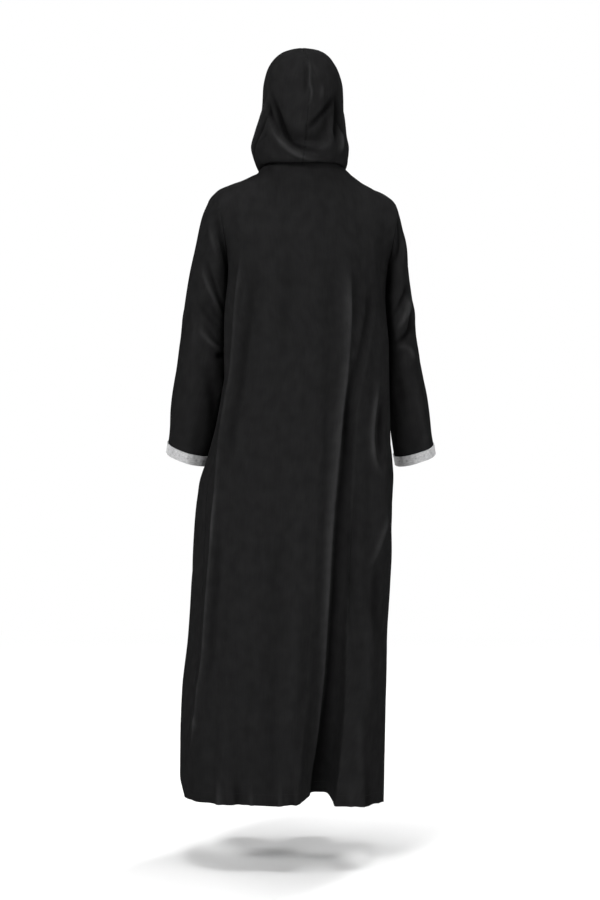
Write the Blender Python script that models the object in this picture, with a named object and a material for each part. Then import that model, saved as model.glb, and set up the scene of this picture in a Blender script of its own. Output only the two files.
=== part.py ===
"""A plain hooded djellaba, standing hollow in the pose in which it is worn.

Metres, +Z up, front towards -Y, the left sleeve at +X. The origin is the middle of the neckline, where
the shoulders and neck carry the garment.

The whole garment is one form: rings round the body from the hem to the armpits, two yokes over the
shoulders, a tube for each sleeve and a hood. The form is cut into the pieces that are sewn together,
each a wall as thick as the cloth, with a narrow gap at every seam.
"""

import math

import bpy
import numpy as np

CLOTH = 0.002
SEAM_GAP = 0.0003
HEM_HEIGHT = -1.378
ARMPIT_HEIGHT = -0.235

# Quads along and around each part of the form.
BODY_ROWS = 20
BACK_LEFT_COLUMNS = 28
BACK_RIGHT_COLUMNS = 16
FRONT_HALF_COLUMNS = 16
SHOULDER_COLUMNS = 8
YOKE_ROWS = 10
SLEEVE_ROWS = 14
BAND_ROWS = 2
HOOD_ROWS = 14
BACK_COLUMNS = BACK_LEFT_COLUMNS + BACK_RIGHT_COLUMNS
FRONT_COLUMNS = 2 * FRONT_HALF_COLUMNS
BACK_NECK_COLUMNS = BACK_COLUMNS - 2 * SHOULDER_COLUMNS
FRONT_NECK_COLUMNS = FRONT_COLUMNS - 2 * SHOULDER_COLUMNS
SLEEVE_COLUMNS = 2 * YOKE_ROWS

BAND_HEIGHT = 0.024
BAND_THICKNESS = 0.0018

# +1 where a piece's rows by its columns turn outwards, and -1 where they turn inwards
FACING = {
    "back_panel": -1,
    "front_panel": -1,
    "sleeve_left": 1,
    "sleeve_right": -1,
    "hood_left": 1,
    "hood_right": -1,
}

SECTION_ROUNDNESS = 2.4
OUTLINE_STEPS = 1440

# height, left edge, right edge, back depth, front depth, turn of the section towards the left
BODY_SECTIONS = (
    (-1.378, 0.264, -0.1770, 0.192, 0.176, 0.00),
    (-1.346, 0.271, -0.1785, 0.191, 0.175, 0.00),
    (-1.275, 0.271, -0.1805, 0.187, 0.173, 0.00),
    (-1.167, 0.2665, -0.1825, 0.180, 0.170, 0.00),
    (-1.044, 0.254, -0.1845, 0.172, 0.168, 0.01),
    (-0.898, 0.245, -0.1920, 0.162, 0.166, 0.02),
    (-0.757, 0.237, -0.2010, 0.153, 0.162, 0.04),
    (-0.695, 0.228, -0.2020, 0.150, 0.160, 0.05),
    (-0.643, 0.2100, -0.1985, 0.148, 0.158, 0.06),
    (-0.560, 0.1865, -0.1900, 0.145, 0.156, 0.07),
    (-0.464, 0.1695, -0.1860, 0.144, 0.154, 0.09),
    (-0.370, 0.1620, -0.1860, 0.145, 0.152, 0.11),
    (-0.235, 0.1620, -0.1870, 0.144, 0.148, 0.13),
)

# height, angle of the left side seam, angle of the right side seam; 90 degrees is the middle back
SIDE_SEAMS = (
    (-1.378, 18, 198),
    (-1.300, 22, 199),
    (-1.170, 31, 200),
    (-0.900, 32, 200),
    (-0.643, 25, 198),
    (-0.450, 10, 190),
    (-0.235, 0, 180),
)

# height, place across the back, depth, width of its left wall, width of its right wall
MAIN_FOLD = (
    (-1.378, -0.041, 0.095, 0.056, 0.031),
    (-1.310, -0.048, 0.082, 0.056, 0.032),
    (-1.160, -0.060, 0.052, 0.054, 0.034),
    (-1.020, -0.067, 0.034, 0.052, 0.032),
    (-0.800, -0.076, 0.018, 0.050, 0.032),
    (-0.560, -0.090, 0.013, 0.050, 0.034),
    (-0.340, -0.132, 0.009, 0.050, 0.036),
    (-0.235, -0.146, 0.005, 0.050, 0.030),
)
LEFT_WALL_SHARPNESS = 3.0
RIGHT_WALL_SHARPNESS = 4.0

# The hem isn't level: angle round the body, height above or below the hem's own
HEM_LINE = (
    (0, -0.011),
    (40, -0.003),
    (75, 0.000),
    (120, -0.004),
    (150, -0.014),
    (180, -0.022),
    (225, -0.012),
    (270, 0.000),
    (315, -0.004),
    (360, -0.011),
)
HEM_LINE_REACH = 0.30
# How far the hem is lifted in the main fold
FOLD_LIFT = 0.013
# Heights between which the rings' columns turn from the main fold to even spacing
EVEN_COLUMNS_BELOW = -0.60
EVEN_COLUMNS_ABOVE = -0.30

BACK = 1
FRONT = -1
# face, place across at the armpits and at the hem, heights at which the fold begins and is full, heights
# at which it starts to fade and is gone, half width, swell outwards
SOFT_FOLDS = (
    (BACK, -0.176, -0.186, -0.235, -0.400, -0.700, -1.060, 0.050, 0.014),
    (BACK, -0.120, -0.118, -0.900, -1.378, -1.400, -1.500, 0.060, 0.014),
    (BACK, 0.146, 0.200, -0.235, -0.360, -0.560, -0.700, 0.050, 0.010),
    (BACK, 0.157, 0.185, -0.235, -0.285, -0.370, -0.480, 0.036, 0.009),
    (BACK, 0.150, 0.222, -0.600, -0.760, -1.400, -1.500, 0.034, 0.007),
    (BACK, 0.060, 0.105, -0.560, -1.300, -1.400, -1.500, 0.060, -0.012),
    (BACK, 0.120, 0.165, -0.700, -1.300, -1.400, -1.500, 0.045, 0.008),
    (FRONT, -0.075, -0.098, -0.350, -1.378, -1.400, -1.500, 0.046, -0.040),
    (FRONT, -0.020, -0.030, -0.250, -1.378, -1.400, -1.500, 0.050, 0.014),
    (FRONT, 0.048, 0.062, -0.420, -1.378, -1.400, -1.500, 0.050, -0.046),
    (FRONT, 0.120, 0.150, -0.300, -1.378, -1.400, -1.500, 0.050, 0.012),
    (FRONT, 0.150, 0.208, -0.640, -1.378, -1.400, -1.500, 0.040, -0.024),
    (FRONT, -0.150, -0.150, -0.600, -1.378, -1.400, -1.500, 0.036, 0.010),
)

# The shoulder lines run from the top of each armhole to the neck: place across, height
LEFT_SHOULDER = ((0.094, 0.002), (0.130, -0.015), (0.160, -0.0275), (0.186, -0.038), (0.206, -0.056))
RIGHT_SHOULDER = ((0.0945, 0.002), (0.120, -0.018), (0.150, -0.033), (0.176, -0.046), (0.196, -0.060))
SHOULDER_TURN = 0.11
NECK_HALF_WIDTH = 0.094
NECK_BACK_DEPTH = 0.080
NECK_RISE = 0.022
NECK_SIDE_HEIGHT = 0.002
THROAT_DEPTH = 0.118
THROAT_HEIGHT = -0.090
THROAT_SLIT_HALF_WIDTH = 0.006
# How the neckline's places across, depths and heights bend between the side of the neck and the throat
NECKLINE_BENDS = (1.4, 0.75, 1.3)
YOKE_SHOULDER_ROUNDNESS = 2.3
YOKE_NECK_ROUNDNESS = {BACK: 1.6, FRONT: 2.2}
# Share of a yoke's row, from each end, over which the shoulders' roundness turns to the neck's
YOKE_NECK_FADE = 1 / 4

# side, face, how far the armhole's edge stands out sideways, how far it stands back or forward
ARMHOLES = (
    (1, BACK, -0.006, 0.080),
    (1, FRONT, 0.014, 0.076),
    (-1, BACK, 0.018, 0.080),
    (-1, FRONT, -0.004, 0.080),
)
ARMHOLE_REACH = 0.32
ARMHOLE_FULLNESS = 0.9

# share of the length, outer edge and its height, inner edge and its height, middle, half depth
LEFT_SLEEVE = (
    (0.00, 0.2060, -0.056, 0.1640, -0.235, 0.024, 0.085),
    (0.10, 0.2240, -0.096, 0.1670, -0.258, 0.018, 0.080),
    (0.22, 0.2385, -0.162, 0.1670, -0.287, 0.004, 0.076),
    (0.34, 0.2530, -0.230, 0.1660, -0.327, -0.012, 0.073),
    (0.46, 0.2660, -0.305, 0.1655, -0.378, -0.026, 0.071),
    (0.62, 0.2790, -0.400, 0.1680, -0.448, -0.040, 0.068),
    (0.80, 0.2940, -0.513, 0.1830, -0.545, -0.056, 0.062),
    (0.92, 0.3010, -0.585, 0.2030, -0.613, -0.066, 0.056),
    (1.00, 0.3080, -0.628, 0.2160, -0.656, -0.072, 0.054),
)
RIGHT_SLEEVE = (
    (0.00, -0.1960, -0.060, -0.1870, -0.235, -0.024, 0.085),
    (0.10, -0.2145, -0.105, -0.1890, -0.258, -0.030, 0.080),
    (0.22, -0.2340, -0.165, -0.1895, -0.287, -0.040, 0.076),
    (0.34, -0.2440, -0.238, -0.1900, -0.327, -0.050, 0.073),
    (0.46, -0.2540, -0.312, -0.1905, -0.378, -0.060, 0.071),
    (0.62, -0.2690, -0.405, -0.1920, -0.448, -0.076, 0.068),
    (0.80, -0.2870, -0.515, -0.1990, -0.545, -0.102, 0.062),
    (0.92, -0.2990, -0.588, -0.2080, -0.614, -0.120, 0.056),
    (1.00, -0.3070, -0.630, -0.2160, -0.657, -0.128, 0.054),
)
SLEEVE_ROUNDNESS = 2.2
SLEEVE_BACK_DROP = 0.012
ARMHOLE_BLEND = 0.40

# share of the way up, half width left and right, place of the back seam, side depth and height,
# back depth and height, face edge place, depth and height
HOOD_SECTIONS = (
    (0.00, 0.094, 0.0940, 0.000, 0.000, 0.002, 0.080, 0.024, 0.0060, -0.118, -0.090),
    (0.06, 0.100, 0.0990, -0.001, 0.002, 0.012, 0.105, 0.010, 0.0110, -0.121, -0.070),
    (0.13, 0.106, 0.1030, -0.004, 0.002, 0.028, 0.117, 0.022, 0.0210, -0.125, -0.040),
    (0.20, 0.109, 0.1010, -0.007, 0.000, 0.052, 0.118, 0.050, 0.0360, -0.129, -0.004),
    (0.32, 0.102, 0.0935, -0.011, -0.004, 0.088, 0.114, 0.093, 0.0560, -0.130, 0.048),
    (0.44, 0.094, 0.0925, -0.014, -0.008, 0.125, 0.114, 0.130, 0.0670, -0.129, 0.092),
    (0.55, 0.089, 0.0925, -0.016, -0.010, 0.157, 0.113, 0.160, 0.0710, -0.128, 0.128),
    (0.64, 0.0870, 0.0910, -0.017, -0.012, 0.193, 0.110, 0.186, 0.0705, -0.127, 0.162),
    (0.73, 0.0785, 0.0815, -0.017, -0.014, 0.230, 0.102, 0.211, 0.0650, -0.126, 0.196),
    (0.82, 0.0595, 0.0635, -0.015, -0.016, 0.2595, 0.089, 0.234, 0.0510, -0.124, 0.226),
    (0.91, 0.0320, 0.0350, -0.011, -0.018, 0.2785, 0.072, 0.253, 0.0280, -0.122, 0.248),
    (1.00, 0.000, 0.0000, -0.005, -0.020, 0.2845, 0.051, 0.268, 0.0000, -0.120, 0.257),
)
HOOD_BACK_ROUNDNESS = 2.1
# How fast the hood's sections leave the shape of the neckline on their way up
HOOD_NECK_FADE = 6

# The largest drapes of the hood's back and of the sleeves, each on a curve through three places:
# piece, face, first place and height, middle place and height, last place and height, half width, swell
DRAPES = (
    ("hood", BACK, 0.080, 0.165, 0.046, 0.054, -0.008, 0.043, 0.021, 0.007),
    ("hood", BACK, -0.008, 0.043, -0.062, 0.052, -0.080, 0.170, 0.021, 0.007),
    ("hood", BACK, 0.066, 0.175, 0.040, 0.086, -0.008, 0.072, 0.022, -0.008),
    ("hood", BACK, -0.008, 0.072, -0.052, 0.080, -0.066, 0.170, 0.022, -0.008),
    ("sleeve", BACK, 0.230, -0.276, 0.200, -0.300, 0.175, -0.330, 0.026, -0.006),
    ("sleeve", BACK, 0.240, -0.335, 0.205, -0.365, 0.180, -0.390, 0.028, 0.006),
    ("sleeve", BACK, -0.246, -0.250, -0.240, -0.345, -0.205, -0.390, 0.032, 0.007),
    ("sleeve", BACK, -0.262, -0.300, -0.232, -0.372, -0.202, -0.425, 0.026, -0.006),
    ("sleeve", FRONT, 0.270, -0.300, 0.235, -0.335, 0.195, -0.345, 0.028, -0.007),
    ("sleeve", FRONT, -0.258, -0.310, -0.232, -0.345, -0.200, -0.355, 0.028, -0.007),
)
DRAPE_STEPS = 24
# How steeply a surface may turn from the drape's face before the drape starts to fade
DRAPE_FACING = 1.5
DRAPE_UNDERSIDE = 1.6
DRAPE_END = 0.02

BLACK_CLOTH = (0.016, 0.0165, 0.018, 1.0)
BLACK_CLOTH_ROUGHNESS = 0.62
SILVER_BAND = (0.42, 0.42, 0.43, 1.0)
SILVER_BAND_ROUGHNESS = 0.5
SHARP_EDGE_DEGREES = 50


def smooth_table(table, places):
    """The other columns of a table read at some places of its first, on curves that don't overshoot."""
    rows = np.array(table, float)
    rows = rows[np.argsort(rows[:, 0])]
    known = rows[:, 0]
    values = rows[:, 1:]
    steps = np.diff(known)[:, None]
    slopes = np.diff(values, axis=0) / steps
    tangents = np.empty_like(values)
    tangents[0] = slopes[0]
    tangents[-1] = slopes[-1]
    before, after = slopes[:-1], slopes[1:]
    total = np.where(before + after == 0, 1.0, before + after)
    tangents[1:-1] = np.where(before * after > 0, 2 * before * after / total, 0.0)
    places = np.atleast_1d(np.asarray(places, float))
    low = np.clip(np.searchsorted(known, places, side="right") - 1, 0, len(known) - 2)
    step = steps[low]
    share = (places[:, None] - known[low][:, None]) / step
    return (
        (1 + 2 * share) * (1 - share) ** 2 * values[low]
        + share * (1 - share) ** 2 * step * tangents[low]
        + share**2 * (3 - 2 * share) * values[low + 1]
        + share**2 * (share - 1) * step * tangents[low + 1]
    )


def signed_power(value, power):
    return np.sign(value) * np.abs(value) ** power


def ramp(value):
    """0 below 0, 1 above 1, and smooth between."""
    share = np.clip(value, 0, 1)
    return share * share * (3 - 2 * share)


def swell(offset, width, sharpness=2.0):
    """1 at no offset, falling smoothly to 0 at one width."""
    return np.clip(1 - np.abs(offset / width) ** sharpness, 0, 1) ** 2


def lengths_along(points):
    steps = np.linalg.norm(np.diff(points, axis=0), axis=1)
    return np.concatenate([[0], np.cumsum(steps)])


def outline_angle(place, face, middle, half_width):
    """The angle at which the back or the front of a section passes a place across."""
    share = np.clip((place - middle) / half_width, -1, 1)
    angle = math.degrees(math.acos(signed_power(share, SECTION_ROUNDNESS / 2)))
    return angle if face == BACK else 360 - angle


def body_outline(height):
    """Angles and points round the body near a height, and the angle of the main fold."""
    left, right, back, front, turn = smooth_table(BODY_SECTIONS, height)[0]
    middle = (left + right) / 2
    half_width = (left - right) / 2
    angles = np.linspace(0, 360, OUTLINE_STEPS + 1)
    cosine = np.cos(np.radians(angles))
    sine = np.sin(np.radians(angles))
    across = half_width * signed_power(cosine, 2 / SECTION_ROUNDNESS)
    depth = np.where(sine > 0, back, front) * signed_power(sine, 2 / SECTION_ROUNDNESS)
    plan = np.column_stack([middle + across, depth + turn * across])
    along = lengths_along(plan)
    heading = np.gradient(plan, axis=0)
    outward = np.column_stack([heading[:, 1], -heading[:, 0]])
    outward /= np.linalg.norm(outward, axis=1)[:, None]

    def offset_from(angle):
        offset = along - np.interp(angle, angles, along)
        return (offset + along[-1] / 2) % along[-1] - along[-1] / 2

    rise = np.zeros(len(angles))
    share = (height - ARMPIT_HEIGHT) / (HEM_HEIGHT - ARMPIT_HEIGHT)
    for face, top_place, hem_place, begins, full, fades, gone, width, out in SOFT_FOLDS:
        place = top_place + (hem_place - top_place) * share
        grown = ramp((height - begins) / (full - begins)) * (1 - ramp((height - fades) / (gone - fades)))
        rise += out * grown * swell(offset_from(outline_angle(place, face, middle, half_width)), width)
    plan += rise[:, None] * outward

    place, deep, left_width, right_width = smooth_table(MAIN_FOLD, height)[0]
    fold_angle = outline_angle(place, BACK, middle, half_width)
    offset = offset_from(fold_angle)
    left_wall = swell(offset, left_width, LEFT_WALL_SHARPNESS)
    right_wall = swell(offset, right_width, RIGHT_WALL_SHARPNESS)
    fold = np.where(offset < 0, left_wall, right_wall)
    plan[:, 1] -= deep * fold
    near_hem = ramp((HEM_HEIGHT + HEM_LINE_REACH - height) / HEM_LINE_REACH)
    heights = height + near_hem * (smooth_table(HEM_LINE, angles)[:, 0] + FOLD_LIFT * fold)
    return angles, np.column_stack([plan, heights]), fold_angle


def columns_angle(angles, outline, fold_angle, seams, height):
    """The angle between the back's left and right columns: the main fold's, or higher up an even share."""
    along = lengths_along(outline)
    left, right, fold = (np.interp(angle, angles, along) for angle in (*seams, fold_angle))
    even = left + (right - left) * BACK_LEFT_COLUMNS / BACK_COLUMNS
    evenness = ramp((height - EVEN_COLUMNS_BELOW) / (EVEN_COLUMNS_ABOVE - EVEN_COLUMNS_BELOW))
    return np.interp(fold + (even - fold) * evenness, along, angles)


def spread(angles, outline, start, end, count):
    """Points at equal distances along an outline from one angle to another, without the last."""
    fine = np.linspace(start, end, OUTLINE_STEPS // 2)
    stretch = np.column_stack([np.interp(fine % 360, angles, values) for values in outline.T])
    along = lengths_along(stretch)
    stops = np.linspace(0, along[-1], count + 1)[:-1]
    return np.column_stack([np.interp(stops, along, values) for values in stretch.T])


def body_ring(height):
    """A ring of points from the left side seam over the back, the right side and the front."""
    angles, outline, fold_angle = body_outline(height)
    left_seam, right_seam = smooth_table(SIDE_SEAMS, height)[0]
    middle_back = columns_angle(angles, outline, fold_angle, (left_seam, right_seam), height)
    middle_front = 270
    return np.concatenate([
        spread(angles, outline, left_seam, middle_back, BACK_LEFT_COLUMNS),
        spread(angles, outline, middle_back, right_seam, BACK_RIGHT_COLUMNS),
        spread(angles, outline, right_seam, middle_front, FRONT_HALF_COLUMNS),
        spread(angles, outline, middle_front, left_seam + 360, FRONT_HALF_COLUMNS),
    ])


def shoulder_line(table, side):
    """Points from the top of an armhole to the neck, both included."""
    outermost, innermost = table[-1][0], table[0][0]
    across = np.linspace(outermost, innermost, SHOULDER_COLUMNS + 1)
    heights = smooth_table(table, across)[:, 0]
    return np.column_stack([side * across, SHOULDER_TURN * side * (across - innermost), heights])


def back_neckline():
    """Points round the back of the neck from left to right, both ends included."""
    angle = np.linspace(0, math.pi, BACK_NECK_COLUMNS + 1)
    return np.column_stack([
        NECK_HALF_WIDTH * np.cos(angle),
        NECK_BACK_DEPTH * np.sin(angle),
        NECK_SIDE_HEIGHT + NECK_RISE * np.sin(angle),
    ])


def front_neckline_half():
    """Points from the side of the neck to the foot of the V at the throat, on the left."""
    count = FRONT_NECK_COLUMNS // 2
    share = np.arange(count) / (count - 1)
    inward, forward, downward = (share**bend for bend in NECKLINE_BENDS)
    across = NECK_HALF_WIDTH + (THROAT_SLIT_HALF_WIDTH - NECK_HALF_WIDTH) * inward
    depth = -THROAT_DEPTH * forward
    height = NECK_SIDE_HEIGHT + (THROAT_HEIGHT - NECK_SIDE_HEIGHT) * downward
    half = np.column_stack([across, depth, height])
    return np.vstack([half, [0, -THROAT_DEPTH, THROAT_HEIGHT]])


def back_top_line():
    left = shoulder_line(LEFT_SHOULDER, 1)
    right = shoulder_line(RIGHT_SHOULDER, -1)[::-1]
    return np.vstack([left[:-1], back_neckline(), right[1:]])


def front_top_line():
    """From the top of the right armhole over the throat to the top of the left armhole."""
    left = shoulder_line(LEFT_SHOULDER, 1)
    right = shoulder_line(RIGHT_SHOULDER, -1)
    half = front_neckline_half()
    mirrored = half * [-1, 1, 1]
    return np.vstack([right[:-1], mirrored[:-1], half[::-1], left[::-1][1:]])


def yoke(base, top, face):
    """Rows from the armpits up to the shoulder line, rounding over, with the armholes' edges."""
    share = np.linspace(0, 1, len(base))
    near_neck = ramp(np.minimum(share, 1 - share) / YOKE_NECK_FADE)
    roundness = YOKE_SHOULDER_ROUNDNESS + (YOKE_NECK_ROUNDNESS[face] - YOKE_SHOULDER_ROUNDNESS) * near_neck
    rows = []
    for row in range(YOKE_ROWS + 1):
        way_up = row / YOKE_ROWS
        climbed = math.sin(math.pi / 2 * way_up) ** (2 / roundness)
        still_out = max(0.0, math.cos(math.pi / 2 * way_up)) ** (2 / roundness)
        points = np.empty_like(base)
        points[:, 0] = base[:, 0] + (top[:, 0] - base[:, 0]) * way_up
        points[:, 1] = top[:, 1] + (base[:, 1] - top[:, 1]) * still_out
        points[:, 2] = base[:, 2] + (top[:, 2] - base[:, 2]) * climbed
        open_share = math.sin(math.pi * way_up) ** ARMHOLE_FULLNESS
        for side, edge_face, out, deep in ARMHOLES:
            if edge_face != face:
                continue
            from_edge = share if (side == face) else 1 - share
            near = open_share * np.clip(1 - from_edge / ARMHOLE_REACH, 0, 1) ** 2
            points[:, 0] += side * out * near
            points[:, 1] += face * deep * near
        rows.append(points)
    return rows


def sleeve_ring(table, way_down):
    """A ring round the arm, from its outer edge by the back, the inner edge and the front."""
    out_x, out_z, in_x, in_z, middle, half_depth = smooth_table(table, way_down)[0]
    angle = np.linspace(0, 2 * math.pi, SLEEVE_COLUMNS, endpoint=False)
    outward = signed_power(np.cos(angle), 2 / SLEEVE_ROUNDNESS)
    backward = signed_power(np.sin(angle), 2 / SLEEVE_ROUNDNESS)
    return np.column_stack([
        (out_x + in_x) / 2 + (out_x - in_x) / 2 * outward,
        middle + half_depth * backward,
        (out_z + in_z) / 2 + (out_z - in_z) / 2 * outward - SLEEVE_BACK_DROP * backward * way_down,
    ])


def sleeve_shares(table):
    """Shares of the length at which rings lie, the last few at the band's edges."""
    length = math.dist(table[0][1:3], table[-1][1:3])
    band_top = 1 - BAND_HEIGHT / length
    arm = np.linspace(0, band_top, SLEEVE_ROWS - BAND_ROWS + 1)
    band = np.linspace(band_top, 1, BAND_ROWS + 1)
    return np.concatenate([arm, band[1:]])


def sleeve_rows(table, armhole):
    """The rings below the armhole, which bend to its edge at their upper end."""
    misfit = armhole - sleeve_ring(table, 0)
    rows = []
    for way_down in sleeve_shares(table)[1:]:
        rows.append(sleeve_ring(table, way_down) + misfit * (1 - ramp(way_down / ARMHOLE_BLEND)))
    return rows


def hood_row(way_up, side):
    """Half a section of the hood, from the seam at the back round the side to the face's edge."""
    section = smooth_table(HOOD_SECTIONS, way_up)[0]
    wide = side * (section[0] if side == 1 else section[1])
    seam_x, side_y, side_z, back_y, back_z, edge_x, edge_y, edge_z = section[2:]
    round_back = np.linspace(math.pi / 2, 0, BACK_NECK_COLUMNS // 2 + 1)
    backward = np.sin(round_back) ** (2 / HOOD_BACK_ROUNDNESS)
    sideways = np.maximum(0, np.cos(round_back)) ** (2 / HOOD_BACK_ROUNDNESS)
    behind = np.column_stack([
        seam_x + (wide - seam_x) * sideways,
        side_y + (back_y - side_y) * backward,
        side_z + (back_z - side_z) * backward**2,
    ])
    round_front = np.linspace(0, math.pi / 2, FRONT_NECK_COLUMNS // 2)[1:]
    ahead = np.column_stack([
        side * edge_x + (wide - side * edge_x) * np.cos(round_front),
        side_y + (edge_y - side_y) * np.sin(round_front),
        side_z + (edge_z - side_z) * (1 - np.cos(round_front)),
    ])
    behind[0, 0] = seam_x
    return np.vstack([behind, ahead])


class Form:
    """Points shared by every piece, and the grids of their numbers."""

    def __init__(self):
        self.points = []

    def add(self, points):
        first = len(self.points)
        self.points.extend(np.asarray(points, float))
        return list(range(first, len(self.points)))

    def at(self, numbers):
        return np.array([self.points[number] for number in numbers])


def build_form():
    """The whole garment as grids of point numbers, one grid for each piece."""
    form = Form()
    heights = np.linspace(HEM_HEIGHT, ARMPIT_HEIGHT, BODY_ROWS + 1)
    body = [form.add(body_ring(height)) for height in heights]
    back = [ring[: BACK_COLUMNS + 1] for ring in body]
    front = [ring[BACK_COLUMNS:] + ring[:1] for ring in body]

    back_rows = yoke(form.at(back[-1]), back_top_line(), BACK)[1:]
    back += [form.add(row) for row in back_rows]
    top = back[-1]
    front_rows = yoke(form.at(front[-1]), front_top_line(), FRONT)[1:]
    front += [form.add(row) for row in front_rows[:-1]]
    right_shoulder = top[: -SHOULDER_COLUMNS - 2 : -1]
    left_shoulder = top[SHOULDER_COLUMNS::-1]
    between = form.add(front_rows[-1][SHOULDER_COLUMNS + 1 : -SHOULDER_COLUMNS - 1])
    front.append(right_shoulder + between + left_shoulder)

    grids = {"back_panel": back, "front_panel": front}
    back_yoke = back[BODY_ROWS:]
    front_yoke = front[BODY_ROWS:]
    left_hole = [row[0] for row in back_yoke[::-1]] + [row[-1] for row in front_yoke[1:-1]]
    right_hole = [row[-1] for row in back_yoke[::-1]] + [row[0] for row in front_yoke[1:-1]]
    for name, table, hole in (
        ("sleeve_left", LEFT_SLEEVE, left_hole),
        ("sleeve_right", RIGHT_SLEEVE, right_hole),
    ):
        rings = [hole] + [form.add(row) for row in sleeve_rows(table, form.at(hole))]
        grids[name] = [ring + ring[:1] for ring in rings]

    grids.update(hood_grids(form, back[-1], front[-1]))
    return form, grids


def hood_grids(form, back_top, front_top):
    """Both halves of the hood, from the neckline up, sharing the seam down the middle."""
    centre = len(back_top) // 2
    throat = len(front_top) // 2
    reach = FRONT_NECK_COLUMNS // 2
    necks = {
        1: back_top[centre : SHOULDER_COLUMNS - 1 : -1] + front_top[throat + reach - 1 : throat : -1],
        -1: back_top[centre : len(back_top) - SHOULDER_COLUMNS] + front_top[throat - reach + 1 : throat],
    }
    rows = {side: [neck] for side, neck in necks.items()}
    seam = None
    for row in range(1, HOOD_ROWS + 1):
        way_up = row / HOOD_ROWS
        for side in (1, -1):
            misfit = form.at(necks[side]) - hood_row(0, side)
            points = hood_row(way_up, side) + misfit * (1 - way_up) ** HOOD_NECK_FADE
            if side == 1:
                numbers = form.add(points)
                seam = numbers
            elif row == HOOD_ROWS:
                numbers = seam
            else:
                numbers = seam[:1] + form.add(points[1:])
            rows[side].append(numbers)
    return {"hood_left": rows[1], "hood_right": rows[-1]}


def grid_triangles(form_points, grid):
    """Triangles of a grid as corners (row, column), each quad cut on its shorter diagonal."""
    rows = len(grid)
    columns = len(grid[0])
    triangles = []
    for row in range(rows - 1):
        for column in range(columns - 1):
            a, b = (row, column), (row, column + 1)
            d, c = (row + 1, column), (row + 1, column + 1)
            corner = [form_points[grid[i][j]] for i, j in (a, b, c, d)]
            if np.linalg.norm(corner[0] - corner[2]) <= np.linalg.norm(corner[1] - corner[3]):
                triangles += [(a, b, c), (a, c, d)]
            else:
                triangles += [(a, b, d), (b, c, d)]
    return triangles


def form_normals(points, grids):
    """Outward normals of the form's points, averaged over all pieces that meet there."""
    normals = np.zeros_like(points)
    for name, grid in grids.items():
        numbers = np.array(grid)
        corners = points[numbers]
        across = corners[1:, 1:] - corners[:-1, :-1]
        other = corners[:-1, 1:] - corners[1:, :-1]
        faces = np.cross(across, other) * FACING[name]
        for rows, columns in ((slice(1, None), slice(1, None)), (slice(1, None), slice(None, -1)),
                              (slice(None, -1), slice(1, None)), (slice(None, -1), slice(None, -1))):
            np.add.at(normals, numbers[rows, columns], faces)
    lengths = np.linalg.norm(normals, axis=1)[:, None]
    return normals / np.where(lengths == 0, 1.0, lengths)


def drape_curve(places):
    """Places across and heights along the curve of a drape."""
    first, middle, last = np.array(places).reshape(3, 2)
    bend = 2 * middle - (first + last) / 2
    share = np.linspace(0, 1, DRAPE_STEPS)[:, None]
    return first * (1 - share) ** 2 + 2 * bend * share * (1 - share) + last * share**2


def drape_swell(points, normals, grids):
    """How far each point stands out for the drapes of its piece."""
    out = np.zeros(len(points))
    for piece, face, *places, half_width, height in DRAPES:
        on_piece = np.zeros(len(points))
        for name, grid in grids.items():
            if name.startswith(piece):
                on_piece[np.array(grid[1:])] = 1
        curve = drape_curve(places)
        apart = np.linalg.norm(points[:, None, (0, 2)] - curve[None], axis=2)
        share = np.clip(apart.argmin(axis=1) / (DRAPE_STEPS - 1), DRAPE_END, 1 - DRAPE_END)
        fade = np.sqrt(np.sin(math.pi * share))
        facing = np.clip(normals[:, 1] * face * DRAPE_FACING, 0, 1)
        # An underside, such as that of the roll at the nape, keeps clear of what lies below it.
        upright = np.clip(1 + DRAPE_UNDERSIDE * normals[:, 2], 0, 1)
        out += height * swell(apart.min(axis=1), half_width) * fade * facing * upright * on_piece
    return out


def moved_in(layer, closed_ring):
    """A layer of points whose outer rows and columns are drawn in by half a seam gap."""
    moved = layer.copy()
    sides = [(0, 1), (-1, -2)]
    if not closed_ring:
        every_row = slice(None)
        sides += [((every_row, 0), (every_row, 1)), ((every_row, -1), (every_row, -2))]
    for edge, inner in sides:
        line = layer[edge]
        inward = layer[inner] - line
        tangent = np.gradient(line, axis=0)
        tangent /= np.linalg.norm(tangent, axis=1)[:, None]
        inward -= tangent * np.sum(inward * tangent, axis=1)[:, None]
        inward /= np.linalg.norm(inward, axis=1)[:, None]
        moved[edge] += inward * SEAM_GAP / 2
    return moved


def wall_faces(triangles, rows, columns, closed_ring, facing):
    """Faces of a closed wall, from the outer layer's triangles."""
    width = columns - 1 if closed_ring else columns
    count = rows * width

    def number(corner, layer):
        row, column = corner
        return layer * count + row * width + column % width

    faces = []
    for a, b, c in triangles:
        outer = (a, b, c) if facing == -1 else (a, c, b)
        faces.append(tuple(number(corner, 0) for corner in outer))
        faces.append(tuple(number(corner, 1) for corner in outer[::-1]))
    border = [[(0, column) for column in range(columns)]]
    border.append([(rows - 1, column) for column in range(columns)][::-1])
    if not closed_ring:
        border.append([(row, 0) for row in range(rows)][::-1])
        border.append([(row, columns - 1) for row in range(rows)])
    for line in border:
        for a, b in zip(line, line[1:]):
            first, second = (a, b) if facing == -1 else (b, a)
            quad = number(second, 0), number(first, 0), number(first, 1), number(second, 1)
            faces.append(quad[:3])
            faces.append((quad[0], quad[2], quad[3]))
    return faces


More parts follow.
